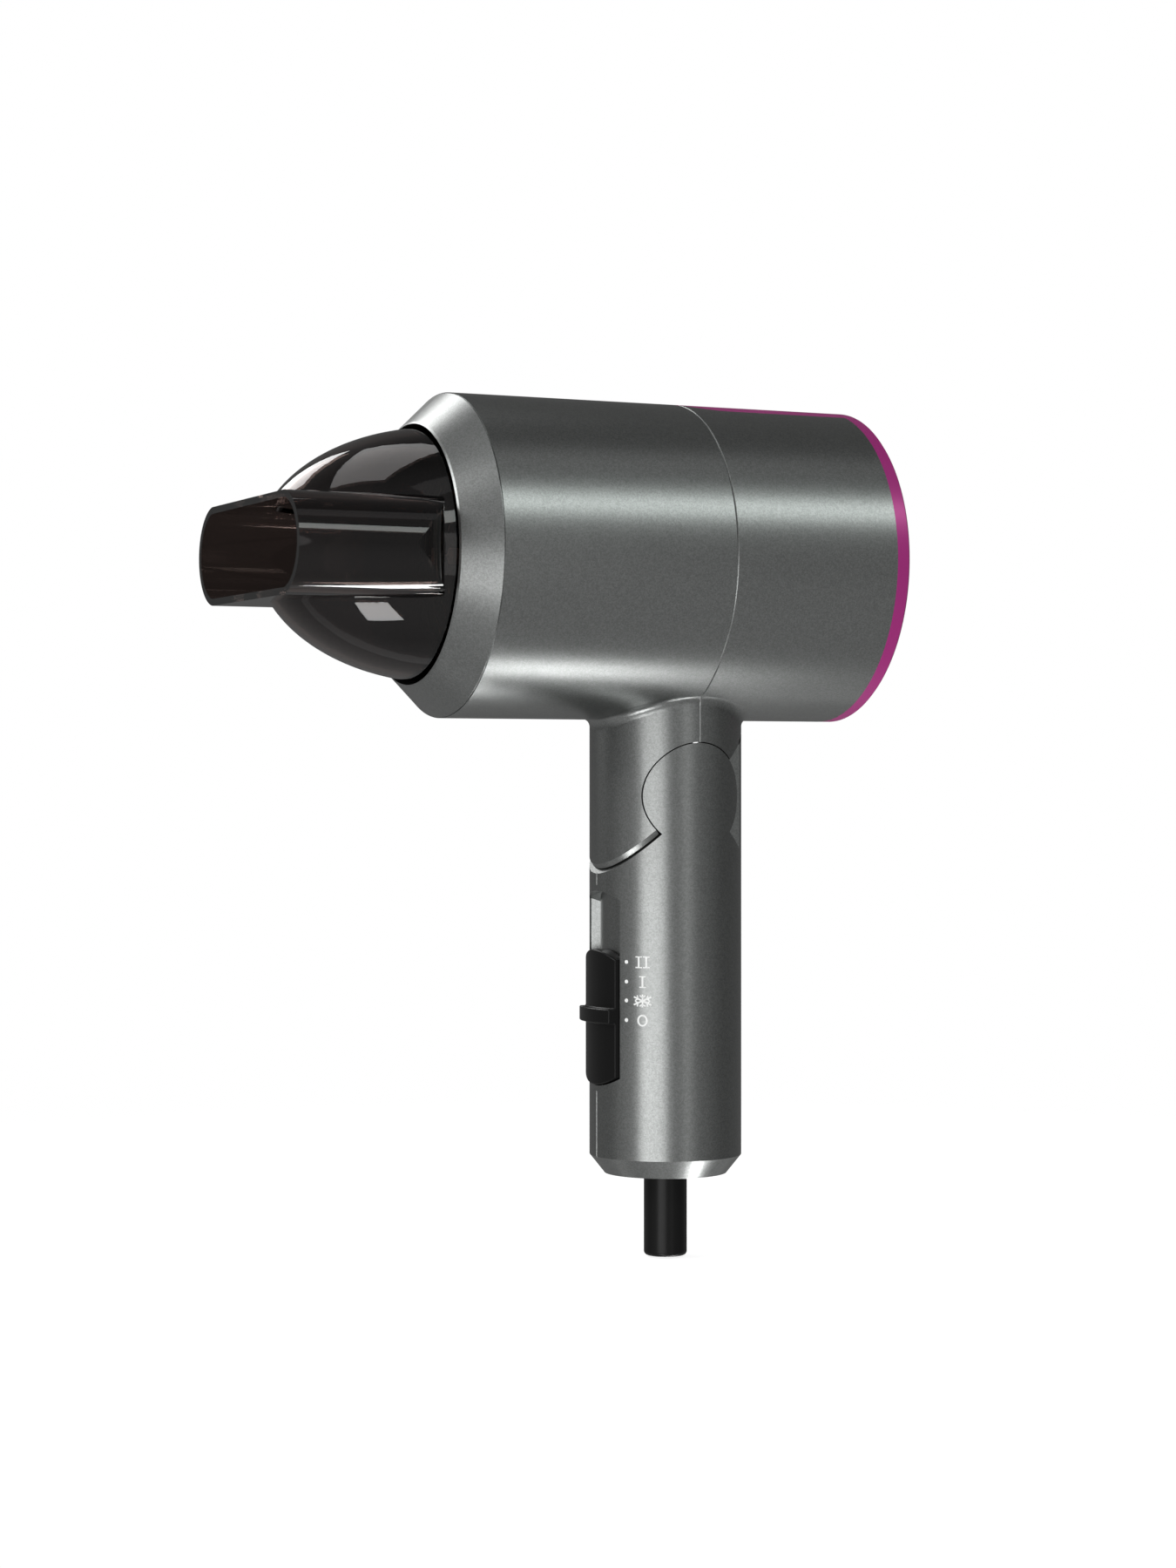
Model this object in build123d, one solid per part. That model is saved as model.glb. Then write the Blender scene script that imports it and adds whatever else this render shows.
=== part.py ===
from build123d import *
from math import cos, pi, radians, sin, sqrt
import os

# Folding hair dryer, in millimetres.
# The Z axis is the handle's axis and the origin is the middle of the grip.
# The barrel lies along X: the nozzle points to -X and the air enters at +X.

# ---- overall sizes -------------------------------------------------------
axis_height = 120.0          # barrel axis above the middle of the grip
barrel_radius = 42.5
barrel_front = 65.5          # handle axis to the front end of the straight barrel
barrel_rear = 47.6           # handle axis to the rear end of the grey shell
rear_ring_length = 4.0
ring_bevel = 0.7             # edges of the rear ring
handle_radius = 20.5
handle_below = 44.4          # middle of the grip to the underside of the handle
shell_wall = 2.4
handle_wall = 2.2

# ---- clearances ----------------------------------------------------------
running_gap = 0.05           # radial, between a shaft and the bore that it turns in
body_gap = 0.3               # between parts that move past each other
seam = 0.15                  # each side of a parting line that shows

# ---- barrel details ------------------------------------------------------
bezel_length = 9.0
mouth_radius = 33.9          # bore of the bezel
socket_depth = 14.0          # how far the nozzle goes into the bezel
bezel_sleeve = 7.0           # part of the bezel inside the front shell
strip_half_width = 14.2
strip_front = 2.0            # strip past the parting line
strip_thickness = 1.2
neck_fillet = 2.8
duct_radius = 33.5           # air duct, outside
duct_wall = 1.5
head_screw_circle = 37.8
head_boss_radius = 2.8
head_boss_length = 20.0

# ---- fold joint ----------------------------------------------------------
fold_drop = 62.9             # barrel axis to the fold pin
cheek_radius = 14.05
cheek_inner = 14.5           # half the space between the cheeks
front_cut_angle = 225.0      # of the closed front cut, from +X round the pin
fold_limit = 84.0
wedge_angle = fold_limit / 2 + 0.5    # of the open rear cut, above and below level
shroud_half_width = 13.4
pin_radius = 3.0
pin_half_length = 17.5
lug_radius = 9.0
lug_half_width = 13.2
chin_bevel = 1.6             # height above the front cut
chin_bevel_depth = 0.9       # at the front cut
seam_bevel = 0.25

# ---- switch --------------------------------------------------------------
slider_half_width = 9.2
slider_top = 16.1
slider_bottom = -20.0
slider_arch = 2.4            # how far the ends of the slider bow out
slider_proud = 1.0
switch_travel = 15.4
recess_depth = 3.0
recess_floor = 2.0
recess_rim = 1.5             # wall round the recess
recess_slant = 30.0          # of the recess's walls, below their upright part
recess_slant_start = 17.6    # handle axis to where the slant begins
thumb_height = 3.9
thumb_proud = 1.7
thumb_centre = -1.35
slider_rounding = 0.4
stem_width = 3.6
stem_length = 9.0

# ---- lower end -----------------------------------------------------------
end_chamfer = 4.0
end_chamfer_length = 5.0
end_wall = 3.0
guard_radius = 5.825
guard_below = 22.4           # cord guard below the handle
guard_corner = 1.1
cord_bore = 3.5
guard_flange_radius = 9.0
guard_flange = 2.5

# ---- fan and motor -------------------------------------------------------
fan_tip_gap = 0.6
fan_hub_radius = 12.0
fan_length = 12.0
fan_rear = 38.0
blade_count = 9
blade_thickness = 1.2
root_pitch = 38.0            # turn of the blade's section at the hub and at its tip
tip_pitch = 62.0
fan_nose = 3.0
motor_radius = 13.0
motor_length = 26.0
shaft_radius = 1.6
bearing_radius = 4.0
bearing_length = 3.0
vane_count = 7
vane_thickness = 1.2
vane_turn = 12.0
cup_wall = 1.5

# ---- heater --------------------------------------------------------------
heater_length = 44.0
heater_front_gap = 3.0       # heater to the outlet grille
board_thickness = 0.8
coil_wire = 0.5
coil_turns = 8
coil_rows = (25.0, 17.0)     # radius of the outer and the inner row
coil_end_gap = 4.0           # first and last turn from the ends of the boards
mica_wall = 0.5

# ---- grilles -------------------------------------------------------------
grille_thickness = 2.0
rib_width = 1.4
intake_pitch = 4.4
outlet_pitch = 6.0
spoke_count = 12
intake_hub = 5.0
outlet_hub = 4.0

# ---- nozzle --------------------------------------------------------------
nozzle_reach = 118.8         # handle axis to the nozzle's mouth
nozzle_wall = 1.8
mouth_height = 25.9
mouth_width = 78.4
duct_shoulder_rear = 77.0    # handle axis to the rear of the flat duct's shoulders
mouth_bulge = 11.1
shoulder_radius = 11.0
ring_length = 3.0
ring_wall = 2.4
snap_lip = 0.8
dome_start = 65.0            # handle axis to the widest part of the dome
dome_length = 50.5

# ---- screws --------------------------------------------------------------
screw_radius = 1.25
screw_head_radius = 2.2
screw_head = 1.6
screw_seat = 11.0            # in the right handle half, from the parting plane
screw_bite = 10.0            # in the left handle half
handle_screw_x = 12.5
handle_boss_radius = 3.0

# ---- more inner sizes ----------------------------------------------------
grille_radius = 37.0
ring_spigot = 5.0            # rear ring inside the rear shell
filter_thickness = 0.8
filter_pitch = 7.6
filter_lap = 1.5
filter_hole = 2.2
filter_rings = 4
duct_flange = 1.5
vane_length = 12.0
end_cap = 3.0
can_wall = 1.0
armature_length = 12.0
armature_radius = 9.2
pole_gap = 1.8
pole_depth = 3.0
commutator_radius = 3.2
commutator_length = 3.0
magnet_thickness = 2.2
magnet_gap = 6.0
magnet_end_gap = 4.0
cutout_length = 9.0          # thermostat and thermal fuse
cutout_side = 4.0
cutout_width = 7.0
cutout_height = 2.6
cutout_strip = 1.2
fuse_radius = 1.8
fuse_side = 8.0
fuse_lead = 4.0
fuse_lead_radius = 0.5
ion_front = 46.0
ion_rear = 24.0
ion_half_width = 12.0
needle_holder = 2.5
needle_holder_radius = 2.2
needle_length = 3.0
needle_radius = 0.5
needle_tip = 0.1
grommet_radius = 4.6
wire_radius = 0.8
wire_entry = -3.5            # where the wires enter the duct, along the barrel
board_edge = 1.6
board_half_width = 11.0
board_bottom = -28.0
board_top = 26.0
capacitor_depth = 7.0
capacitor_width = 8.0
capacitor_low = -24.0
capacitor_height = 14.0
choke_radius = 4.0
choke_height = 8.0
diode_count = 4
diode_pitch = 4.5
diode_width = 3.0
diode_depth = 2.4
diode_low = 8.0
diode_length = 6.0
lug_from = 140.0
lug_to = 218.0
web_half_width = 11.0
wire_way_radius = 2.6
washer_radius = 7.0
cheek_depth = 24.0
stem_bottom = -14.0
stem_tip = -12.0
switch_depth = 9.0
switch_half_width = 7.0
switch_wall = 3.0
collar_radius = 12.0
collar_height = 7.0
collar_floor = 1.5
clamp_gap = 1.2
clamp_thickness = 3.0
clamp_half_width = 5.0
skirt_radius = 33.4

# ---- worked out ----------------------------------------------------------
pin_height = axis_height - fold_drop
shell_bore = barrel_radius - shell_wall
neck_bore = handle_radius - handle_wall
handle_bottom = -handle_below
duct_bore = duct_radius - duct_wall
socket_floor = barrel_front + bezel_length - socket_depth
duct_front = socket_floor - grille_thickness
heater_front = -duct_front + heater_front_gap
duct_rear = fan_rear + 1.0
motor_rear = fan_rear - fan_length - 2.0
ring_rear = socket_floor + 1.3
spigot_rear = -socket_floor - body_gap
filter_front = barrel_rear - ring_spigot - filter_thickness


# ---- small shapes --------------------------------------------------------
def cyl_x(radius, x0, x1, z=axis_height, y=0.0):
    """A cylinder along X from x0 to x1."""
    return Pos((x0 + x1) / 2, y, z) * Rot(0, 90, 0) * Cylinder(radius, abs(x1 - x0))


def cyl_y(radius, y0, y1, x=0.0, z=0.0):
    """A cylinder along Y from y0 to y1."""
    return Pos(x, (y0 + y1) / 2, z) * Rot(90, 0, 0) * Cylinder(radius, abs(y1 - y0))


def cyl_z(radius, z0, z1, x=0.0, y=0.0):
    """A cylinder along Z from z0 to z1."""
    return Pos(x, y, (z0 + z1) / 2) * Cylinder(radius, abs(z1 - z0))


def block(x0, x1, y0, y1, z0, z1):
    """A box between two corners."""
    return Pos((x0 + x1) / 2, (y0 + y1) / 2, (z0 + z1) / 2) * Box(abs(x1 - x0), abs(y1 - y0), abs(z1 - z0))


def slab(half_width):
    """All the space within half_width of the plane Y = 0."""
    return block(-150, 150, -half_width, half_width, -150, 250)


def ring_x(outer, inner, x0, x1):
    """A tube about the barrel's axis."""
    return cyl_x(outer, x0, x1) - cyl_x(inner, x0 - 1, x1 + 1)


def turned(points):
    """A solid turned about the barrel's axis, from (x, radius) points."""
    face = make_face(Polyline([(x, 0, axis_height + r) for x, r in points], close=True))
    return revolve(face, Axis((0, 0, axis_height), (1, 0, 0)), 360)


def sector(start, stop, reach=90.0, half_width=60.0):
    """The space round the fold pin between two angles, from +X towards +Z."""
    count = 12
    step = radians(stop - start) / count
    rim = [
        (reach * cos(radians(start) + i * step), reach * sin(radians(start) + i * step))
        for i in range(count + 1)
    ]
    face = make_face(Polyline([(0, 0)] + rim, close=True))
    return Pos(0, half_width, pin_height) * Rot(90, 0, 0) * extrude(face, 2 * half_width)


def cut_plane(angle, reach=90.0):
    """A thin slab from the fold pin outwards: the gap of a parting line at that angle."""
    return Pos(0, 0, pin_height) * Rot(0, -angle, 0) * Pos(reach / 2, 0, 0) * Box(reach, 120, 2 * seam)


def export(shape, name):
    """Write one node."""
    shape.label = name
    export_step(shape, os.path.join("parts", name + ".step"))


# ---- head shells ---------------------------------------------------------
def strip_space(thickness, grow=0.0):
    """The coloured strip's shape: flush with the barrel, round at its front end."""
    half = strip_half_width + grow
    front = -strip_front - grow
    plan = Pos((front + half + barrel_rear) / 2, 0) * Rectangle(barrel_rear - front - half, 2 * half)
    plan += Pos(front + half, 0) * Circle(half)
    column = Pos(0, 0, axis_height) * extrude(plan, barrel_radius + 1)
    skin = ring_x(barrel_radius, barrel_radius - thickness, -barrel_front, barrel_rear)
    return column & skin


def shroud_sweep():
    """What the handle's rear shroud passes through as it folds."""
    reach = handle_radius / cos(radians(wedge_angle)) + body_gap
    side = handle_radius + body_gap
    count = 24
    rim = [
        (side * cos(pi * i / count), reach * sin(pi * i / count)) for i in range(count + 1)
    ]
    face = make_face(Polyline(rim[::-1], close=True))
    face = Pos(0, 0, pin_height) * Rot(0, 0, 90) * Rot(90, 0, 0) * face
    return revolve(face, Axis((0, 0, pin_height), (0, 1, 0)), 360) & slab(shroud_half_width + body_gap)


def head_outside():
    """Barrel and neck in one, with the small fillet where they meet."""
    body = cyl_x(barrel_radius, -barrel_front, barrel_rear)
    body += cyl_z(handle_radius, pin_height - 40, axis_height)
    joint = body.edges().filter_by(GeomType.BSPLINE)
    return fillet(joint, neck_fillet)


def head_shell():
    """The whole head shell before it is parted at X = 0."""
    shell = head_outside()
    shell -= cyl_x(shell_bore, -barrel_front - 1, barrel_rear + 1)
    shell -= cyl_z(neck_bore, pin_height - 60, axis_height)
    handle_side = sector(front_cut_angle, 360 + wedge_angle) + cut_plane(front_cut_angle)
    handle_side += cut_plane(wedge_angle)
    shell -= handle_side - cyl_x(barrel_radius, -150, 150)
    cheeks = cyl_y(cheek_radius + body_gap, -60, 60, 0, pin_height)
    shell -= cheeks - slab(cheek_inner - body_gap)
    rear_half = block(0, 60, -60, 60, 0, 200)
    shell -= shroud_sweep() & rear_half
    shell -= strip_space(strip_thickness)
    return shell


def boss_places():
    """(y, z) of the four long screws that hold the two head shells together."""
    for quarter in range(4):
        angle = radians(45 + 90 * quarter)
        yield head_screw_circle * cos(angle), axis_height + head_screw_circle * sin(angle)


def half_shell(side):
    """The front (side = -1) or rear (side = 1) head shell with its screw bosses."""
    keep = block(0, side * 150, -60, 60, 0, 200)
    half = head_shell() & keep
    for y, z in boss_places():
        boss = cyl_x(head_boss_radius, 0, side * head_boss_length, z, y)
        half += boss
        half -= cyl_x(screw_radius, -60, 60, z, y)
    half = chamfer(seam_edges(half), seam_bevel)
    if side < 0:
        half -= chin_bevel_skin()
    return half


def chin_section(radius, offset):
    """A slice of a cylinder round the handle's axis, parallel to the front cut and above it."""
    turn = radians(front_cut_angle)
    place = Plane(origin=(0, 0, pin_height - offset / cos(turn)),
                  x_dir=(-cos(turn), 0, -sin(turn)), z_dir=(sin(turn), 0, -cos(turn)))
    return place * Ellipse(-radius / cos(turn), radius)


def chin_bevel_skin():
    """What the chin's bevel takes off: deepest at the front cut, and nothing at the bevel's top."""
    margin = 1.0
    core = loft([chin_section(handle_radius - chin_bevel_depth, 0), chin_section(handle_radius, chin_bevel)])
    around = loft([chin_section(handle_radius + margin, 0), chin_section(handle_radius + margin, chin_bevel)])
    skin = (around - core) & block(-60, 0, -60, 60, 0, pin_height)
    return skin - cyl_y(cheek_radius, -60, 60, 0, pin_height)


def seam_edges(half):
    """The outer edges of a head shell at the parting plane X = 0."""
    chosen = []
    for edge in half.edges():
        spots = [edge.position_at(t) for t in (0, 0.5, 1)]
        flat = all(abs(p.X) < 0.001 for p in spots)
        middle = spots[1]
        off_axis = sqrt(middle.Y ** 2 + (middle.Z - axis_height) ** 2)
        neck = middle.Z < axis_height - barrel_radius + neck_fillet + 5
        on_neck = abs(middle.Y) > handle_radius - 0.01
        if flat and off_axis > barrel_radius - 0.01 and (on_neck or not neck):
            chosen.append(edge)
    return chosen


def front_bezel():
    """The conical front ring, with a sleeve in the shell and the socket for the nozzle."""
    x0 = -barrel_front
    x1 = x0 - bezel_length
    grille_seat = -duct_front
    return turned([
        (x0, barrel_radius - seam_bevel), (x0 - seam_bevel, barrel_radius - seam_bevel),
        (x1 + 0.4, mouth_radius + 0.6), (x1, mouth_radius + 0.1), (x1, mouth_radius),
        (grille_seat, mouth_radius), (grille_seat, duct_radius), (grille_seat + 2, duct_radius),
        (grille_seat + 2, mouth_radius + 2.0), (x0 + bezel_sleeve, mouth_radius + 2.0),
        (x0 + bezel_sleeve, shell_bore), (x0, shell_bore),
    ])


def rear_ring():
    """The coloured ring at the air intake, with a spigot inside the rear shell."""
    x0 = barrel_rear
    x1 = x0 + rear_ring_length
    return turned([
        (x0, barrel_radius), (x1 - ring_bevel, barrel_radius), (x1, barrel_radius - ring_bevel),
        (x1, grille_radius + ring_bevel), (x1 - ring_bevel, grille_radius),
        (x0 - ring_spigot, grille_radius), (x0 - ring_spigot, shell_bore), (x0, shell_bore),
    ])


def grille(radius, x0, pitch, hub):
    """A flat grille of rings and spokes across the barrel."""
    rim = ring_x(radius, radius - rib_width, x0, x0 + grille_thickness)
    body = rim + cyl_x(hub, x0, x0 + grille_thickness)
    ring = hub + pitch
    while ring < radius - pitch / 2:
        body += ring_x(ring, ring - rib_width, x0, x0 + grille_thickness)
        ring += pitch
    for i in range(spoke_count):
        spoke = block(x0, x0 + grille_thickness, -rib_width / 2, rib_width / 2,
                      hub - 1, radius - rib_width / 2)
        body += Pos(0, 0, axis_height) * Rot(360 * i / spoke_count, 0, 0) * spoke
    return body


def intake_filter():
    """A perforated disc behind the intake grille."""
    x1 = filter_front + filter_thickness
    disc = cyl_x(grille_radius + filter_lap, filter_front, x1)
    holes = []
    for ring in range(1, filter_rings + 1):
        for i in range(6 * ring):
            angle = 2 * pi * i / (6 * ring)
            radius = ring * filter_pitch
            y = radius * cos(angle)
            z = axis_height + radius * sin(angle)
            holes.append(cyl_x(filter_hole, filter_front - 1, x1 + 1, z, y))
    return disc - holes


def head_screws():
    """Four long screws along the barrel, from the rear into the front shell."""
    group = []
    for y, z in boss_places():
        shank = cyl_x(screw_radius, head_boss_length, -head_boss_length + 5, z, y)
        head = cyl_x(screw_head_radius, head_boss_length, head_boss_length + screw_head, z, y)
        group.append(shank + head)
    return Compound(children=group)


# ---- air duct, fan and motor ---------------------------------------------
def duct():
    """The straight inner tube from the fan to the bezel, ribbed where it meets the rear shell."""
    tube = ring_x(duct_radius, duct_bore, -duct_front, duct_rear)
    tube += ring_x(shell_bore, duct_bore, duct_rear, duct_rear + duct_flange)
    return tube - cyl_z(grommet_radius, pin_height, axis_height, wire_entry)


def duct_grommet():
    """The rubber grommet through which the wires enter the duct."""
    z0 = axis_height - duct_radius
    ring = cyl_z(grommet_radius, z0 - 1.0, z0 + duct_wall + 1.2, wire_entry)
    for y in wire_spread():
        ring -= cyl_z(wire_radius, z0 - 5, z0 + 8, wire_entry, y)
    return ring


def wire_spread():
    """Where the three wires lie side by side."""
    return (-2.2, 0.0, 2.2)


def head_wires():
    """The three wires from the neck through the duct's grommet to the motor's cap."""
    low = pin_height + handle_radius / cos(radians(wedge_angle)) + 2 * body_gap
    return Compound(children=[
        cyl_z(wire_radius, low, axis_height, wire_entry, y)
        - cyl_x(motor_radius, wire_entry - 5, wire_entry + 5) for y in wire_spread()
    ])


def handle_wires():
    """The three wires from the board up to the fold."""
    x = stem_tip + switch_depth + board_edge / 2
    top = pin_height - lug_radius - 1.5
    return Compound(children=[cyl_z(wire_radius, board_top, top, x, y) for y in wire_spread()])


def motor_cup():
    """The motor's cup, held in the duct by the guide vanes."""
    x1 = motor_rear
    cup = ring_x(motor_radius + cup_wall, motor_radius, x1 - motor_length + 4, x1 + cup_wall)
    cup += ring_x(motor_radius + cup_wall, bearing_radius + 1, x1, x1 + cup_wall)
    for i in range(vane_count):
        vane = Rot(0, 0, vane_turn) * Box(vane_length, vane_thickness, duct_bore - motor_radius - 0.5)
        middle = (duct_bore + motor_radius + 0.5) / 2
        vane = Pos(x1 - vane_length / 2 - 2, 0, middle) * vane
        cup += Pos(0, 0, axis_height) * Rot(360 * i / vane_count, 0, 0) * vane
    return cup & cyl_x(duct_bore, -60, 60)


def motor_can():
    """The motor's drawn steel can, closed at the rear and open at the front."""
    x1 = motor_rear
    x0 = x1 - motor_length
    can = ring_x(motor_radius, motor_radius - can_wall, x0, x1)
    return can + ring_x(motor_radius, bearing_radius, x1 - can_wall, x1)


def motor_end_cap():
    """The plastic cap that carries the motor's front bearing and its brushes."""
    x0 = motor_rear - motor_length
    cap = ring_x(motor_radius, bearing_radius, x0 - end_cap, x0)
    return cap + ring_x(motor_radius - can_wall, bearing_radius, x0, x0 + can_wall)


def bearings():
    """The motor's two sintered bushes."""
    front = motor_rear - motor_length - end_cap
    places = (front, motor_rear - bearing_length)
    return Compound(children=[
        ring_x(bearing_radius, shaft_radius + running_gap, x, x + bearing_length) for x in places
    ])


def motor_magnets():
    """Two curved magnets inside the can."""
    x1 = motor_rear - magnet_end_gap
    x0 = motor_rear - motor_length + magnet_end_gap
    shell = ring_x(motor_radius - can_wall, motor_radius - can_wall - magnet_thickness, x0, x1)
    gap = block(-60, 60, -magnet_gap / 2, magnet_gap / 2, 0, 200)
    return Compound(children=list((shell - gap).solids()))


def motor_shaft():
    """The shaft, from in front of the motor to the end of the fan's hub."""
    x0 = motor_rear - motor_length - end_cap - 1.5
    return cyl_x(shaft_radius, x0, fan_rear - 2)


def armature():
    """The wound rotor on the shaft: three poles and a commutator."""
    x1 = motor_rear - 6
    x0 = x1 - armature_length
    core = ring_x(armature_radius, shaft_radius, x0, x1)
    for i in range(3):
        slot = block(x0 - 1, x1 + 1, -pole_gap / 2, pole_gap / 2,
                     armature_radius - pole_depth, armature_radius + 1)
        core -= Pos(0, 0, axis_height) * Rot(120 * i, 0, 0) * slot
    return core + ring_x(commutator_radius, shaft_radius, x0 - commutator_length, x0)


def impeller():
    """The axial fan: a domed hub and twisted blades."""
    x1 = fan_rear
    x0 = x1 - fan_length
    hub = turned([
        (x0, shaft_radius), (x0, fan_hub_radius), (x1 - fan_nose, fan_hub_radius),
        (x1 - fan_nose / 3, fan_hub_radius - fan_nose * 2 / 3),
        (x1, fan_hub_radius - 2 * fan_nose), (x1, shaft_radius),
    ])
    tip = duct_bore - fan_tip_gap
    root = Pos(0, 0, fan_hub_radius - 1) * Rot(0, 0, root_pitch) * Rectangle(fan_length, blade_thickness)
    end = Pos(0, 0, tip + 1) * Rot(0, 0, tip_pitch) * Rectangle(fan_length, blade_thickness)
    blade = loft([root, end])
    blade = Pos((x0 + x1) / 2, 0, 0) * blade
    for i in range(blade_count):
        hub += Pos(0, 0, axis_height) * Rot(360 * i / blade_count, 0, 0) * blade
    return hub & ring_x(tip, 0.01, x0, x1) - cyl_x(shaft_radius, x0 - 1, x1 + 1)


# ---- heater --------------------------------------------------------------
def mica_tube():
    """The thin insulating tube that lines the duct round the heater."""
    return ring_x(duct_bore, duct_bore - mica_wall, heater_front, heater_front + heater_length)


def heater_frame():
    """Two crossed mica boards, notched for the coils."""
    x0 = heater_front
    x1 = x0 + heater_length
    h = board_thickness / 2
    outer = duct_bore - mica_wall
    first = block(x0, x1, -h, h, axis_height - outer, axis_height + outer)
    second = block(x0, x1, -outer, outer, axis_height - h, axis_height + h)
    frame = (first + second) & cyl_x(outer, x0, x1)
    for radius in coil_rows:
        for i in range(coil_turns):
            x = coil_place(i)
            notch = ring_x(radius + coil_wire, radius - coil_wire, x - coil_wire, x + coil_wire)
            frame -= notch
    return frame


def coil_place(index):
    """Where along the barrel one turn of wire lies."""
    pitch = (heater_length - 2 * coil_end_gap) / (coil_turns - 1)
    return heater_front + coil_end_gap + index * pitch


def heater_coils():
    """The heating wire's turns round the crossed boards."""
    turns = []
    for radius in coil_rows:
        for i in range(coil_turns):
            loop = Pos(coil_place(i), 0, axis_height) * Rot(0, 90, 0) * Torus(radius, coil_wire)
            turns.append(loop)
    return Compound(children=turns)


def thermostat():
    """The bimetal cut-out, on the heater's side board."""
    x0 = coil_place(coil_turns - 3)
    foot = axis_height + board_thickness / 2
    top = foot + cutout_height
    base = block(x0, x0 + cutout_length, cutout_side, cutout_side + cutout_width, foot, top)
    strip = block(x0 + cutout_length / 3, x0 + cutout_length * 2 / 3,
                  cutout_side + 1, cutout_side + cutout_width - 1, top, top + cutout_strip)
    return base + strip


def thermal_fuse():
    """The one-shot fuse, on the other side of the same board."""
    x0 = coil_place(coil_turns - 3)
    z = axis_height - board_thickness / 2 - fuse_radius
    lead = cyl_x(fuse_lead_radius, x0 - fuse_lead, x0 + cutout_length + fuse_lead, z, fuse_side)
    return lead + cyl_x(fuse_radius, x0, x0 + cutout_length, z, fuse_side)


def ion_module():
    """The potted high-voltage block between the duct and the top of the shell."""
    room = ring_x(shell_bore, duct_radius, -ion_front, -ion_rear)
    return room & block(-ion_front, -ion_rear, -ion_half_width, ion_half_width,
                        axis_height, axis_height + barrel_radius)


def ion_needle():
    """The ion emitter: a needle in a holder that stands on the outlet grille."""
    x = -duct_front - grille_thickness
    holder = cyl_x(needle_holder_radius, x, x - needle_holder)
    needle = Rot(0, -90, 0) * Cone(needle_radius, needle_tip, needle_length)
    return holder + Pos(x - needle_holder - needle_length / 2, 0, axis_height) * needle


# ---- fold hinge ----------------------------------------------------------
def hinge_block():
    """The head's lug: a boss round the pin and a web to the inside of the chin."""
    boss = cyl_y(lug_radius, -lug_half_width, lug_half_width, 0, pin_height)
    web = sector(lug_from, lug_to, handle_radius + 6) & slab(web_half_width)
    web &= cyl_z(neck_bore, pin_height - 30, pin_height + 30)
    body = boss + web
    body -= cyl_y(pin_radius + running_gap, -30, 30, 0, pin_height)
    wire_way = Pos(-lug_radius - 5, 0, pin_height) * Cylinder(wire_way_radius, 60)
    return body - wire_way


def hinge_pin():
    """The steel fold pin, pressed into the two cheeks."""
    return chamfer(cyl_y(pin_radius, -pin_half_length, pin_half_length, 0, pin_height).edges(), 0.4)


def hinge_washers():
    """A friction washer against each cheek."""
    group = []
    for side in (-1, 1):
        inner = lug_half_width + body_gap
        washer = cyl_y(washer_radius, side * inner, side * cheek_inner, 0, pin_height)
        group.append(washer - cyl_y(pin_radius, -30, 30, 0, pin_height))
    return Compound(children=group)


# ---- handle --------------------------------------------------------------
def handle_outside():
    """The grip's solid shape below the fold, with the chamfer at its lower end."""
    column = cyl_z(handle_radius, handle_bottom, pin_height + 40)
    lower = column.edges().sort_by(Axis.Z)[0]
    return chamfer(lower, end_chamfer_length, end_chamfer)


def switch_window(grow, top, bottom, depth):
    """A window on the front of the handle with bowed ends and slanted walls, cut to a depth."""
    half = slider_half_width + grow
    height = top - bottom
    plan = Pos(0, (top + bottom) / 2) * Rectangle(2 * half, height - 2 * slider_arch)
    bow = (half ** 2 + slider_arch ** 2) / (2 * slider_arch)
    for end, way in ((top, -1), (bottom, 1)):
        cap = Pos(0, end + way * bow) * Circle(bow)
        middle = end + way * slider_arch / 2
        plan += cap & (Pos(0, middle) * Rectangle(2 * half, slider_arch + 0.02))
    face = Pos(-recess_slant_start, 0, 0) * Rot(0, 0, 90) * Rot(90, 0, 0) * plan
    prism = extrude(face, -60) + extrude(face, recess_slant_start / 2, taper=recess_slant)
    return prism - cyl_z(handle_radius - depth, -100, 100)


def fold_gaps():
    """The thin gaps at the fold's two cuts, which stop at the cheeks."""
    gaps = cut_plane(front_cut_angle) + cut_plane(wedge_angle)
    cheeks = cyl_y(cheek_radius, -60, 60, 0, pin_height) - slab(cheek_inner)
    return gaps - cheeks


def parting_grooves():
    """The shallow grooves down the handle where its halves meet, in front and behind."""
    side = seam_bevel * sqrt(2)
    groove = Rot(0, 0, 45) * Box(side, side, 2 * pin_height - 2 * handle_bottom)
    return Pos(-handle_radius, 0, 0) * groove + Pos(handle_radius, 0, 0) * groove


def handle_solid():
    """Both handle halves in one, before they are parted at Y = 0."""
    outside = handle_outside()
    wall = outside - cyl_z(neck_bore, handle_bottom + end_wall, pin_height + 60)
    cheeks = outside - slab(cheek_inner)
    cheeks &= block(-60, 60, -60, 60, pin_height - cheek_depth, 200)
    lower_side = sector(front_cut_angle, 360 - wedge_angle)
    keep_side = lower_side + cyl_y(cheek_radius, -60, 60, 0, pin_height)
    cheeks &= keep_side
    middle = wall & sector(front_cut_angle, 360 + wedge_angle) & slab(shroud_half_width)
    sides = wall & lower_side
    below = wall & block(-60, 60, -60, 60, -150, pin_height - 30)
    body = below + sides + middle + cheeks
    body -= fold_gaps()
    body -= parting_grooves()
    floor_top = slider_top + switch_travel + body_gap
    floor_bottom = slider_bottom - body_gap
    pocket = switch_window(body_gap, floor_top, floor_bottom, recess_depth)
    rim = recess_rim
    backing = switch_window(body_gap + rim, floor_top + rim, floor_bottom - rim, recess_depth + recess_floor)
    body += backing & outside
    body -= pocket
    body -= block(-60, 0, -stem_width / 2 - body_gap, stem_width / 2 + body_gap,
                  stem_bottom - body_gap, stem_bottom + stem_length + switch_travel + body_gap)
    return body


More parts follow.
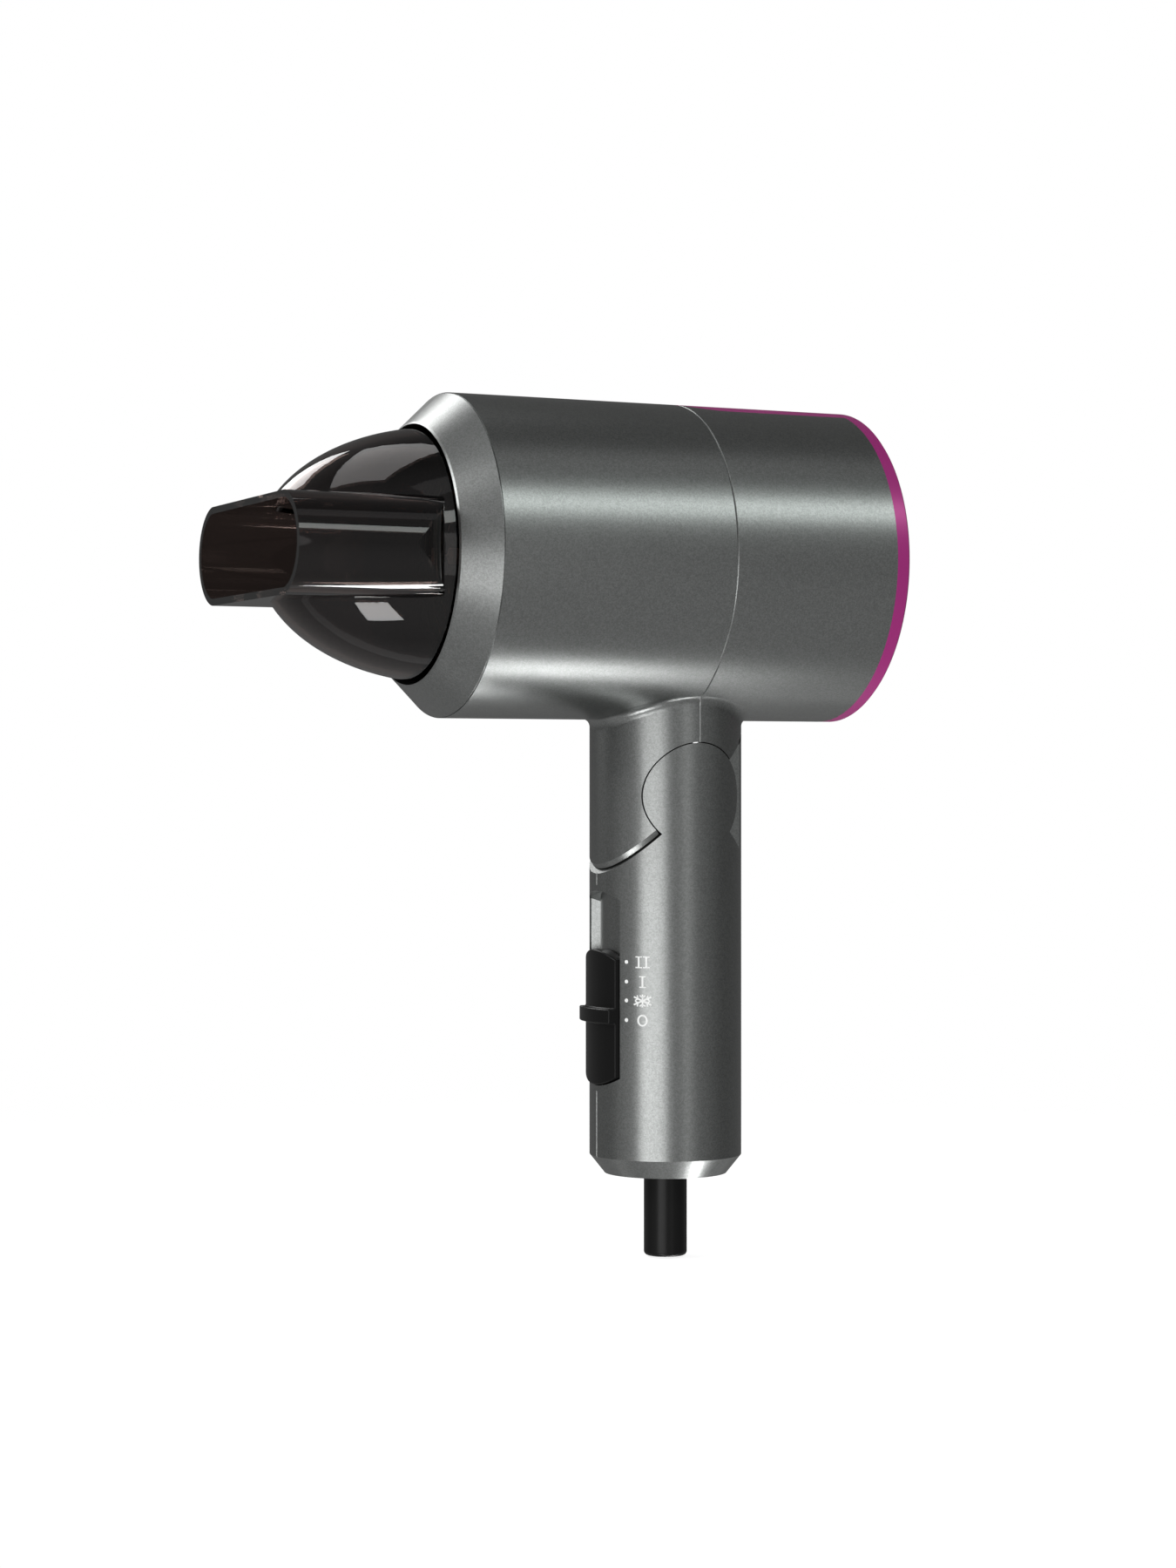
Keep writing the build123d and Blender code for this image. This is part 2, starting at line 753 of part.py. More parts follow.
def handle_screw_places():
    """(x, z) of the screws that hold the handle halves together."""
    return ((handle_screw_x, handle_bottom + 19), (handle_screw_x, pin_height - 30))


def handle_half(side):
    """The left (side = -1) or right (side = 1) half of the handle."""
    half = handle_solid() & block(-60, 60, 0, side * 60, -150, 200)
    for x, z in handle_screw_places():
        boss = cyl_y(handle_boss_radius, 0, side * handle_radius, x, z)
        half += boss & cyl_z(handle_radius - 0.5, -100, 100)
        if side > 0:
            half -= cyl_y(screw_radius, -1, 60, x, z)
            half -= cyl_y(screw_head_radius, screw_seat, 60, x, z)
        else:
            half -= cyl_y(screw_radius, 1, -screw_bite, x, z)
    half -= cyl_y(pin_radius, -pin_half_length, pin_half_length, 0, pin_height)
    half -= cyl_z(guard_radius + body_gap, handle_bottom - 1, handle_bottom + end_wall + 1)
    half -= cyl_z(collar_radius, handle_bottom + end_wall, handle_bottom + end_wall + collar_height)
    return half


def handle_screws():
    """Screws from the right half into the left."""
    group = []
    for x, z in handle_screw_places():
        shank = cyl_y(screw_radius, -screw_bite, screw_seat, x, z)
        group.append(shank + cyl_y(screw_head_radius, screw_seat, screw_seat + screw_head, x, z))
    return Compound(children=group)


def switch_slider():
    """The sliding switch button, with its thumb ridge and the stem to the switch."""
    plate = switch_window(0, slider_top, slider_bottom, recess_depth - body_gap)
    plate &= cyl_z(handle_radius + slider_proud, -100, 100)
    ridge = switch_window(0, slider_top, slider_bottom, recess_depth - body_gap)
    ridge &= block(-60, 0, -60, 60, thumb_centre - thumb_height / 2, thumb_centre + thumb_height / 2)
    ridge &= cyl_z(handle_radius + slider_proud + thumb_proud, -100, 100)
    stem = block(-handle_radius + 2, stem_tip, -stem_width / 2, stem_width / 2,
                 stem_bottom, stem_bottom + stem_length)
    button = plate + ridge
    edges = [e for e in button.edges() if outermost(e) > handle_radius + slider_proud - 0.02]
    return fillet(edges, slider_rounding) + stem


def outermost(edge):
    """The least distance from the handle's axis along an edge."""
    spots = [edge.position_at(t) for t in (0.1, 0.5, 0.9)]
    return min(sqrt(p.X ** 2 + p.Y ** 2) for p in spots)


def switch_body():
    """The switch behind the slider, with a groove for the stem."""
    low = stem_bottom - switch_wall
    high = stem_bottom + stem_length + switch_travel + switch_wall
    body = block(-handle_radius, stem_tip + switch_depth, -switch_half_width, switch_half_width, low, high)
    body &= cyl_z(handle_radius - recess_depth - recess_floor, low, high)
    groove = block(-handle_radius, stem_tip + body_gap,
                   -stem_width / 2 - body_gap, stem_width / 2 + body_gap,
                   stem_bottom - body_gap, high - switch_wall + body_gap)
    return body - groove


def circuit_board():
    """The board behind the switch."""
    x = stem_tip + switch_depth
    return block(x, x + board_edge, -board_half_width, board_half_width, board_bottom, board_top)


def board_parts():
    """A capacitor, a coil and four diodes on the back of the board."""
    x = stem_tip + switch_depth + board_edge
    group = [
        block(x, x + capacitor_depth, -capacitor_width, 0, capacitor_low, capacitor_low + capacitor_height),
        cyl_x(choke_radius, x, x + choke_height, capacitor_low + choke_radius + 2, choke_radius + 2),
    ]
    for i in range(diode_count):
        y = -capacitor_width + diode_pitch * i
        group.append(block(x, x + diode_depth, y, y + diode_width, diode_low, diode_low + diode_length))
    return Compound(children=group)


# ---- lower end -----------------------------------------------------------
def cord_collar():
    """The split collar in the handle's lower end in which the cord guard turns."""
    z0 = handle_bottom + end_wall
    body = cyl_z(collar_radius, z0, z0 + collar_height)
    body -= cyl_z(guard_radius + running_gap, z0 - 1, z0 + collar_height + 1)
    low = z0 + collar_floor
    return body - cyl_z(guard_flange_radius + body_gap, low, low + guard_flange + 2 * body_gap)


def cord_guard():
    """The straight cord guard that turns in the handle, with its flange and bore."""
    low = handle_bottom - guard_below
    z0 = handle_bottom + end_wall
    stem = cyl_z(guard_radius, low, z0 + collar_height)
    stem = fillet(stem.edges().sort_by(Axis.Z)[0], guard_corner)
    flange_foot = z0 + collar_floor + body_gap
    flange = cyl_z(guard_flange_radius, flange_foot, flange_foot + guard_flange)
    return stem + flange - cyl_z(cord_bore, low - 1, z0 + collar_height + 1)


def cord_clamp():
    """The bar that grips the cord above its guard, on a cross wall between the halves."""
    z0 = handle_bottom + end_wall + collar_height + clamp_gap
    z1 = z0 + clamp_thickness
    bar = block(-handle_radius, handle_radius, -clamp_half_width, clamp_half_width, z0, z1)
    bar &= cyl_z(neck_bore, z0, z1)
    return bar - cyl_z(cord_bore, z0 - 1, z1 + 1)


# ---- nozzle --------------------------------------------------------------
def dome(inset):
    """The dome of the nozzle, half an ellipsoid about the barrel's axis, inset by a wall."""
    arc = EllipticalCenterArc((0, 0), dome_length - inset, skirt_radius - inset, start_angle=0, arc_size=90)
    face = make_face(arc + Line((0, skirt_radius - inset), (0, 0)) + Line((0, 0), (dome_length - inset, 0)))
    solid = revolve(face, Axis.X, 360)
    return Pos(-dome_start, 0, axis_height) * Rot(0, 180, 0) * solid


def flat_duct(inset):
    """The nozzle's flat outlet: bowed sides, round rear shoulders, open at the mouth."""
    half = mouth_width / 2 - inset
    height = mouth_height / 2 - inset
    straight = mouth_width / 2 - mouth_bulge
    rear = -duct_shoulder_rear - inset
    front = -nozzle_reach - (0 if inset == 0 else 2)
    section = make_face(
        Polyline([(straight, -height), (-straight, -height)])
        + ThreePointArc((-straight, -height), (-half, 0), (-straight, height))
        + Polyline([(-straight, height), (straight, height)])
        + ThreePointArc((straight, height), (half, 0), (straight, -height))
    )
    plane = Plane((rear, 0, axis_height), x_dir=(0, 1, 0), z_dir=(-1, 0, 0))
    prism = extrude(plane * section, rear - front)
    plan = block(front - 20, rear, -half, half, axis_height - height, axis_height + height)
    corners = plan.edges().filter_by(Axis.Z).sort_by(Axis.X)[-2:]
    return prism & fillet(corners, shoulder_radius - inset)


def nozzle():
    """The clear concentrator: a dome that flattens into a wide slot, on a snap spigot."""
    ring_bore = mouth_radius - running_gap - ring_wall
    spigot = ring_bore - running_gap
    shoulder = -ring_rear - ring_length - body_gap
    body = dome(0) + flat_duct(0)
    body &= block(-200, shoulder, -60, 60, 0, 200)
    body += cyl_x(spigot, shoulder - 1, spigot_rear)
    body += turned([
        (spigot_rear, 0), (spigot_rear, spigot), (spigot_rear - 0.3, spigot + snap_lip),
        (-ring_rear + body_gap, spigot + snap_lip), (-ring_rear + body_gap, 0),
    ])
    hollow = dome(nozzle_wall) + flat_duct(nozzle_wall)
    hollow &= block(-200, shoulder - nozzle_wall, -60, 60, 0, 200)
    hollow += cyl_x(spigot - nozzle_wall, shoulder - nozzle_wall - 1, 0)
    return body - hollow


def nozzle_ring():
    """The ring on which the nozzle turns; it slides into the bezel's socket."""
    outer = mouth_radius - running_gap
    return ring_x(outer, outer - ring_wall, -ring_rear - ring_length, -ring_rear)


# ---- all the nodes -------------------------------------------------------
NODES = {
    "front_shell": half_shell(-1),
    "rear_shell": half_shell(1),
    "top_strip": strip_space(strip_thickness),
    "front_bezel": front_bezel(),
    "rear_ring": rear_ring(),
    "intake_grille": grille(grille_radius, barrel_rear, intake_pitch, intake_hub),
    "intake_filter": intake_filter(),
    "head_screws": head_screws(),
    "air_duct": duct(),
    "motor_cup": motor_cup(),
    "motor_can": motor_can(),
    "motor_end_cap": motor_end_cap(),
    "motor_bearings": bearings(),
    "motor_magnets": motor_magnets(),
    "motor_shaft": motor_shaft(),
    "motor_armature": armature(),
    "fan_impeller": impeller(),
    "mica_tube": mica_tube(),
    "heater_frame": heater_frame(),
    "heater_coils": heater_coils(),
    "thermostat": thermostat(),
    "thermal_fuse": thermal_fuse(),
    "outlet_grille": grille(mouth_radius, -socket_floor, outlet_pitch, outlet_hub),
    "ion_module": ion_module(),
    "ion_needle": ion_needle(),
    "duct_grommet": duct_grommet(),
    "head_wires": head_wires(),
    "handle_wires": handle_wires(),
    "hinge_block": hinge_block(),
    "hinge_pin": hinge_pin(),
    "hinge_washers": hinge_washers(),
    "handle_left": handle_half(-1),
    "handle_right": handle_half(1),
    "handle_screws": handle_screws(),
    "switch_slider": switch_slider(),
    "switch_body": switch_body(),
    "circuit_board": circuit_board(),
    "board_parts": board_parts(),
    "cord_collar": cord_collar(),
    "cord_guard": cord_guard(),
    "cord_clamp": cord_clamp(),
    "nozzle_ring": nozzle_ring(),
    "nozzle": nozzle(),
}

os.makedirs("parts", exist_ok=True)
for name, shape in NODES.items():
    export(shape, name)
    print(name, len(shape.solids()), round(shape.volume, 1))
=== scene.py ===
"""Finishes, fine detail and studio for a folding hair dryer with a clear slot nozzle.

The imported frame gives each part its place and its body. This script dresses those parts, adds
the detail that is too fine for them (printed marks, threads and recesses of screws, the wound
heating wire, the lint screen, the motor's windings), and sets up a plain studio.
All lengths are in metres. +Z is up, the nozzle points to -X and the grip's middle is the origin.
"""

import logging
import math
from collections.abc import Callable, Iterable
from dataclasses import dataclass
from enum import Enum

import bmesh
import bpy
from mathutils import Matrix, Vector


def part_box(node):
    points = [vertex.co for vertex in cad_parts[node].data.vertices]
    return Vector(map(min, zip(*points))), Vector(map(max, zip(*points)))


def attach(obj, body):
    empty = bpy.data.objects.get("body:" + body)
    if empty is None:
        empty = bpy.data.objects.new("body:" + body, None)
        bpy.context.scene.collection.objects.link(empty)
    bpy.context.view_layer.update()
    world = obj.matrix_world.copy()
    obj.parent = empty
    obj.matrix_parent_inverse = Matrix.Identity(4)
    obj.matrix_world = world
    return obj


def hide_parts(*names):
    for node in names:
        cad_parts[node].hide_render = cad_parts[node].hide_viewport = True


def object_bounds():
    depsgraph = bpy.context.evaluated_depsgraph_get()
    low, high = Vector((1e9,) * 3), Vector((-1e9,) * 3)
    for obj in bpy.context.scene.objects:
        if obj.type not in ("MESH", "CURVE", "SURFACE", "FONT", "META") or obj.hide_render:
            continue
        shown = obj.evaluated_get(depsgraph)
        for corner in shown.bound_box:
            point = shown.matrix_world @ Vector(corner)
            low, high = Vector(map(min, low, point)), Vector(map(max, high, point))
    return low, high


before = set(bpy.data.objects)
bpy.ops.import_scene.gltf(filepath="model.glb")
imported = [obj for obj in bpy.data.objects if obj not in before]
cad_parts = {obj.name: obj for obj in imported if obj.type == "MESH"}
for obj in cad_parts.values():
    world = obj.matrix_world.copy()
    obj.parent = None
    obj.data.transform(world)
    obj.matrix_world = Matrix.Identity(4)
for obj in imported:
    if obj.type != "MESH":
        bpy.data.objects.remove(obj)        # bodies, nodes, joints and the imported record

Colour = tuple[float, float, float]
Point = tuple[float, float, float]

CAD_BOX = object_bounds()
MM = 0.001
LOG = logging.getLogger("dryer")


class Slot(Enum):
    """The record's material slots."""

    SHELL = "shell_grey"
    TRIM = "trim_magenta"
    SMOKE = "smoke_clear"
    GLOSS = "black_gloss"
    MATTE = "black_matte"
    MESH = "filter_mesh"
    SCREWS = "steel_screws"
    DUCT = "duct_nylon"
    FAN = "fan_nylon"
    STEEL = "motor_steel"
    BRONZE = "bushing_bronze"
    MAGNET = "magnet_ferrite"
    COPPER = "copper_winding"
    MICA = "mica"
    HEAT = "heating_wire"
    PLATED = "thermostat_metal"
    WHITE = "ion_white"
    BOARD = "board_green"
    PARTS = "board_parts"
    SLEEVE = "wire_sleeve"
    RUBBER = "rubber_black"


class Body(Enum):
    """The bodies of the frame that new pieces ride on."""

    HANDLE = "handle"
    HEAD = "head"
    ROTOR = "rotor"


# ---- node trees ------------------------------------------------------------
class Bench:
    """A node tree with short ways to add and join nodes."""

    def __init__(self, tree: bpy.types.NodeTree) -> None:
        """Takes the tree to work in."""
        self.tree = tree

    def add(self, kind: str, values: dict[str | int, object] | None = None,
            **settings: object) -> bpy.types.Node:
        """Adds a node.

        Args:
            kind: the node's type, without its "ShaderNode" start.
            values: a value for some of its input sockets, by name or number.
            settings: a value for some of its own properties.

        Returns:
            The new node.
        """
        node = self.tree.nodes.new(f"ShaderNode{kind}")
        for name, value in settings.items():
            setattr(node, name, value)
        for socket, value in (values or {}).items():
            node.inputs[socket].default_value = value
        return node

    def join(self, source: bpy.types.NodeSocket, target: bpy.types.NodeSocket) -> None:
        """Joins an output socket to an input socket."""
        self.tree.links.new(source, target)

    def maths(self, operation: str, first: object, second: object = 0.0) -> bpy.types.NodeSocket:
        """Adds a Math node.

        Args:
            operation: the node's operation.
            first: a socket or a number.
            second: a socket or a number.

        Returns:
            The node's output socket.
        """
        node = self.add("Math", operation=operation)
        for index, given in enumerate((first, second)):
            if isinstance(given, bpy.types.NodeSocket):
                self.join(given, node.inputs[index])
            else:
                node.inputs[index].default_value = given
        return node.outputs[0]


@dataclass(frozen=True)
class Effect:
    """A shader node group that several finishes share."""

    name: str
    inputs: tuple[tuple[str, str, object], ...]
    outputs: tuple[tuple[str, str], ...]
    fill: Callable[[Bench, bpy.types.Node, bpy.types.Node], None]

    def group(self) -> bpy.types.NodeTree:
        """The group, made at its first use."""
        known = bpy.data.node_groups.get(self.name)
        if known is not None:
            return known
        tree = bpy.data.node_groups.new(self.name, "ShaderNodeTree")
        for label, kind, value in self.inputs:
            socket = tree.interface.new_socket(label, in_out="INPUT", socket_type=f"NodeSocket{kind}")
            if value is not None:
                socket.default_value = value
        for label, kind in self.outputs:
            tree.interface.new_socket(label, in_out="OUTPUT", socket_type=f"NodeSocket{kind}")
        bench = Bench(tree)
        self.fill(bench, tree.nodes.new("NodeGroupInput"), tree.nodes.new("NodeGroupOutput"))
        return tree

    def place(self, bench: Bench, where: bpy.types.NodeSocket, **values: object) -> bpy.types.Node:
        """Puts the group in a material.

        Args:
            bench: the material's tree.
            where: the coordinates that the pattern follows.
            values: a value for each input that isn't left at its default, with _ for a space.

        Returns:
            The group's node.
        """
        node = bench.add("Group", node_tree=self.group())
        bench.join(where, node.inputs["Place"])
        for name, value in values.items():
            node.inputs[name.replace("_", " ").capitalize()].default_value = value
        return node


def fill_flakes(bench: Bench, given: bpy.types.Node, out: bpy.types.Node) -> None:
    """Metal flakes in a lacquer: each cell is a little lighter or darker and tilts its own way."""
    cells = bench.add("TexVoronoi", feature="F1")
    bench.join(given.outputs["Place"], cells.inputs["Vector"])
    bench.join(given.outputs["Scale"], cells.inputs["Scale"])
    tone = bench.add("SeparateColor")
    bench.join(cells.outputs["Color"], tone.inputs["Color"])
    cloud = bench.add("TexNoise", {"Detail": 2.0, "Roughness": 0.6})
    bench.join(given.outputs["Place"], cloud.inputs["Vector"])
    bench.join(bench.maths("MULTIPLY", given.outputs["Scale"], 0.34), cloud.inputs["Scale"])
    both = bench.maths("MULTIPLY_ADD", tone.outputs["Red"], 0.6)
    both.node.inputs[2].default_value = 0.0
    sum_of = bench.maths("MULTIPLY_ADD", cloud.outputs["Fac"], 0.4)
    bench.join(both, sum_of.node.inputs[2])
    swing = bench.maths("MULTIPLY", bench.maths("SUBTRACT", sum_of, 0.5), given.outputs["Contrast"])
    lift = bench.maths("ADD", swing, 1.0)
    scaled = bench.add("VectorMath", operation="SCALE")
    bench.join(given.outputs["Tone"], scaled.inputs[0])
    bench.join(lift, scaled.inputs["Scale"])
    bench.join(scaled.outputs[0], out.inputs["Colour"])
    bench.join(sum_of, out.inputs["Height"])


def fill_grain(bench: Bench, given: bpy.types.Node, out: bpy.types.Node) -> None:
    """The fine spark-eroded grain of a mould, with a slow change of tone under it."""
    fine = bench.add("TexNoise", {"Detail": 3.0, "Roughness": 0.55})
    slow = bench.add("TexNoise", {"Detail": 2.0, "Roughness": 0.5})
    for node, share in ((fine, 1.0), (slow, 0.02)):
        bench.join(given.outputs["Place"], node.inputs["Vector"])
        bench.join(bench.maths("MULTIPLY", given.outputs["Scale"], share), node.inputs["Scale"])
    mixed = bench.maths("MULTIPLY_ADD", fine.outputs["Fac"], 0.5)
    bench.join(bench.maths("MULTIPLY", slow.outputs["Fac"], 0.5), mixed.node.inputs[2])
    swing = bench.maths("MULTIPLY", bench.maths("SUBTRACT", mixed, 0.5), given.outputs["Contrast"])
    scaled = bench.add("VectorMath", operation="SCALE")
    bench.join(given.outputs["Tone"], scaled.inputs[0])
    bench.join(bench.maths("ADD", swing, 1.0), scaled.inputs["Scale"])
    bench.join(scaled.outputs[0], out.inputs["Colour"])
    bench.join(fine.outputs["Fac"], out.inputs["Height"])
    bench.join(slow.outputs["Fac"], out.inputs["Mask"])


def fill_handling(bench: Bench, given: bpy.types.Node, out: bpy.types.Node) -> None:
    """The faint smears that handling leaves, as a change of roughness."""
    smear = bench.add("TexNoise", {"Detail": 4.0, "Roughness": 0.62, "Distortion": 0.8})
    bench.join(given.outputs["Place"], smear.inputs["Vector"])
    bench.join(given.outputs["Scale"], smear.inputs["Scale"])
    swing = bench.maths("MULTIPLY", bench.maths("SUBTRACT", smear.outputs["Fac"], 0.5),
                        given.outputs["Amount"])
    bench.join(bench.maths("ADD", swing, given.outputs["Base"]), out.inputs["Roughness"])


def fill_turning(bench: Bench, given: bpy.types.Node, out: bpy.types.Node) -> None:
    """Fine rings left by turning or drawing, about the X axis through the pattern's place."""
    rings = bench.add("TexWave", {"Distortion": 0.6, "Detail": 2.0, "Detail Scale": 3.0},
                      wave_type="RINGS", rings_direction="X", wave_profile="SIN")
    bench.join(given.outputs["Place"], rings.inputs["Vector"])
    bench.join(given.outputs["Scale"], rings.inputs["Scale"])
    bench.join(rings.outputs["Fac"], out.inputs["Height"])


def fill_lines(bench: Bench, given: bpy.types.Node, out: bpy.types.Node) -> None:
    """Crossing lines on a square pitch: copper tracks on a board or wires of a mesh."""
    heights = []
    for direction in ("Y", "Z"):
        band = bench.add("TexWave", {"Distortion": 0.0}, wave_type="BANDS", bands_direction=direction)
        bench.join(given.outputs["Place"], band.inputs["Vector"])
        bench.join(given.outputs["Scale"], band.inputs["Scale"])
        heights.append(band.outputs["Fac"])
    high = bench.maths("MAXIMUM", heights[0], heights[1])
    bench.join(high, out.inputs["Height"])
    bench.join(bench.maths("GREATER_THAN", high, 0.82), out.inputs["Mask"])


PLACE_AND_SCALE = (("Place", "Vector", None), ("Scale", "Float", 1000.0))
TONED = (*PLACE_AND_SCALE, ("Tone", "Color", (0.5, 0.5, 0.5, 1.0)), ("Contrast", "Float", 0.2))
FLAKES = Effect("metal_flakes", TONED, (("Colour", "Color"), ("Height", "Float")), fill_flakes)
GRAIN = Effect("mould_grain", TONED, (("Colour", "Color"), ("Height", "Float"), ("Mask", "Float")),
               fill_grain)
HANDLING = Effect("handling_smears", (*PLACE_AND_SCALE, ("Base", "Float", 0.4), ("Amount", "Float", 0.1)),
                  (("Roughness", "Float"),), fill_handling)
TURNING = Effect("turning_rings", PLACE_AND_SCALE, (("Height", "Float"),), fill_turning)
LINES = Effect("crossed_lines", PLACE_AND_SCALE, (("Height", "Float"), ("Mask", "Float")), fill_lines)


# ---- finishes --------------------------------------------------------------
@dataclass(frozen=True)
class Finish:
    """A moulded surface: a tone with a fine grain, a bump from it and handling smears."""

    name: str
    colour: Colour
    roughness: float
    metallic: float = 0.0
    ior: float = 1.5
    grain_scale: float = 2600.0
    contrast: float = 0.2
    bump: float = 0.12
    bump_depth: float = 0.00003
    smear: float = 0.08
    smear_scale: float = 45.0

    def build(self) -> bpy.types.Material:
        """Makes the material, or returns the one already made."""
        known = bpy.data.materials.get(f"finish_{self.name}")
        if known is not None:
            return known
        material = bpy.data.materials.new(f"finish_{self.name}")
        material.use_nodes = True
        material.diffuse_color = (*self.colour, 1.0)
        material.node_tree.nodes.clear()
        bench = Bench(material.node_tree)
        shader = bench.add("BsdfPrincipled", {
            "Base Color": (*self.colour, 1.0), "Roughness": self.roughness,
            "Metallic": self.metallic, "IOR": self.ior,
        })
        out = bench.add("OutputMaterial")
        bench.join(shader.outputs[0], out.inputs["Surface"])
        self.dress(bench, shader, bench.add("TexCoord").outputs["Object"])
        return material

    def dress(self, bench: Bench, shader: bpy.types.Node, where: bpy.types.NodeSocket) -> None:
        """Joins the finish's patterns to its shader.

        Args:
            bench: the material's tree.
            shader: its Principled BSDF.
            where: Object coordinates.
        """
        grain = self.pattern().place(bench, where, scale=self.grain_scale, contrast=self.contrast,
                                     tone=(*self.colour, 1.0))
        bench.join(grain.outputs["Colour"], shader.inputs["Base Color"])
        self.smears(bench, shader, where)
        self.raise_from(bench, shader, grain.outputs["Height"])

    def pattern(self) -> Effect:
        """The group that gives the colour and the height."""
        return GRAIN

    def smears(self, bench: Bench, shader: bpy.types.Node, where: bpy.types.NodeSocket) -> None:
        """Joins the handling smears to the roughness."""
        smear = HANDLING.place(bench, where, scale=self.smear_scale, base=self.roughness, amount=self.smear)
        bench.join(smear.outputs["Roughness"], shader.inputs["Roughness"])

    def raise_from(self, bench: Bench, shader: bpy.types.Node, height: bpy.types.NodeSocket) -> None:
        """Joins a height to the normal through a Bump node."""
        bump = bench.add("Bump", {"Strength": self.bump, "Distance": self.bump_depth})
        bench.join(height, bump.inputs["Height"])
        bench.join(bump.outputs["Normal"], shader.inputs["Normal"])


@dataclass(frozen=True)
class FlakeLacquer(Finish):
    """Gunmetal lacquer: fine metal flakes under a thin satin coat."""

    coat: float = 0.12
    coat_roughness: float = 0.3

    def pattern(self) -> Effect:
        """Flakes in place of the mould's grain."""
        return FLAKES

    def dress(self, bench: Bench, shader: bpy.types.Node, where: bpy.types.NodeSocket) -> None:
        """Adds the coat to the flakes."""
        shader.inputs["Coat Weight"].default_value = self.coat
        shader.inputs["Coat Roughness"].default_value = self.coat_roughness
        super().dress(bench, shader, where)


@dataclass(frozen=True)
class SmokedClear(Finish):
    """Clear plastic with a brown-black smoke tint all through."""

    def dress(self, bench: Bench, shader: bpy.types.Node, where: bpy.types.NodeSocket) -> None:
        """Lets light through and leaves only a slow polish ripple on the surface."""
        shader.inputs["Transmission Weight"].default_value = 1.0
        ripple = GRAIN.place(bench, where, scale=self.grain_scale, contrast=self.contrast,
                             tone=(*self.colour, 1.0))
        bench.join(ripple.outputs["Colour"], shader.inputs["Base Color"])
        self.raise_from(bench, shader, ripple.outputs["Mask"])


@dataclass(frozen=True)
class WorkedMetal(Finish):
    """Turned, drawn or rolled metal, with fine rings about the barrel's direction."""

    axis_height: float = 0.12
    ring_scale: float = 3000.0

    def dress(self, bench: Bench, shader: bpy.types.Node, where: bpy.types.NodeSocket) -> None:
        """Takes the tone from the grain and the height from the turning rings."""
        grain = GRAIN.place(bench, where, scale=self.grain_scale, contrast=self.contrast,
                            tone=(*self.colour, 1.0))
        bench.join(grain.outputs["Colour"], shader.inputs["Base Color"])
        self.smears(bench, shader, where)
        centred = bench.add("Mapping", {"Location": (0.0, 0.0, -self.axis_height)})
        bench.join(where, centred.inputs["Vector"])
        rings = TURNING.place(bench, centred.outputs["Vector"], scale=self.ring_scale)
        self.raise_from(bench, shader, rings.outputs["Height"])


@dataclass(frozen=True)
class MicaSheet(Finish):
    """Pressed mica: golden brown flakes in layers, with a soft sheen."""

    fleck: Colour = (0.62, 0.5, 0.32)

    def dress(self, bench: Bench, shader: bpy.types.Node, where: bpy.types.NodeSocket) -> None:
        """Mixes lighter flecks into the sheet's tone."""
        flakes = FLAKES.place(bench, where, scale=self.grain_scale, contrast=self.contrast,
                              tone=(*self.colour, 1.0))
        mix = bench.add("Mix", data_type="RGBA")
        mix.inputs[7].default_value = (*self.fleck, 1.0)
        bench.join(bench.maths("GREATER_THAN", flakes.outputs["Height"], 0.6), mix.inputs[0])
        bench.join(flakes.outputs["Colour"], mix.inputs[6])
        bench.join(mix.outputs[2], shader.inputs["Base Color"])
        self.smears(bench, shader, where)
        self.raise_from(bench, shader, flakes.outputs["Height"])


@dataclass(frozen=True)
class TrackedBoard(Finish):
    """A printed board: solder mask over a square run of copper tracks."""

    track: Colour = (0.03, 0.2, 0.07)
    track_scale: float = 240.0

    def dress(self, bench: Bench, shader: bpy.types.Node, where: bpy.types.NodeSocket) -> None:
        """Shows the tracks as a lighter green, raised a little."""
        grain = GRAIN.place(bench, where, scale=self.grain_scale, contrast=self.contrast,
                            tone=(*self.colour, 1.0))
        tracks = LINES.place(bench, where, scale=self.track_scale)
        mix = bench.add("Mix", data_type="RGBA")
        mix.inputs[7].default_value = (*self.track, 1.0)
        bench.join(tracks.outputs["Mask"], mix.inputs[0])
        bench.join(grain.outputs["Colour"], mix.inputs[6])
        bench.join(mix.outputs[2], shader.inputs["Base Color"])
        self.raise_from(bench, shader, tracks.outputs["Mask"])


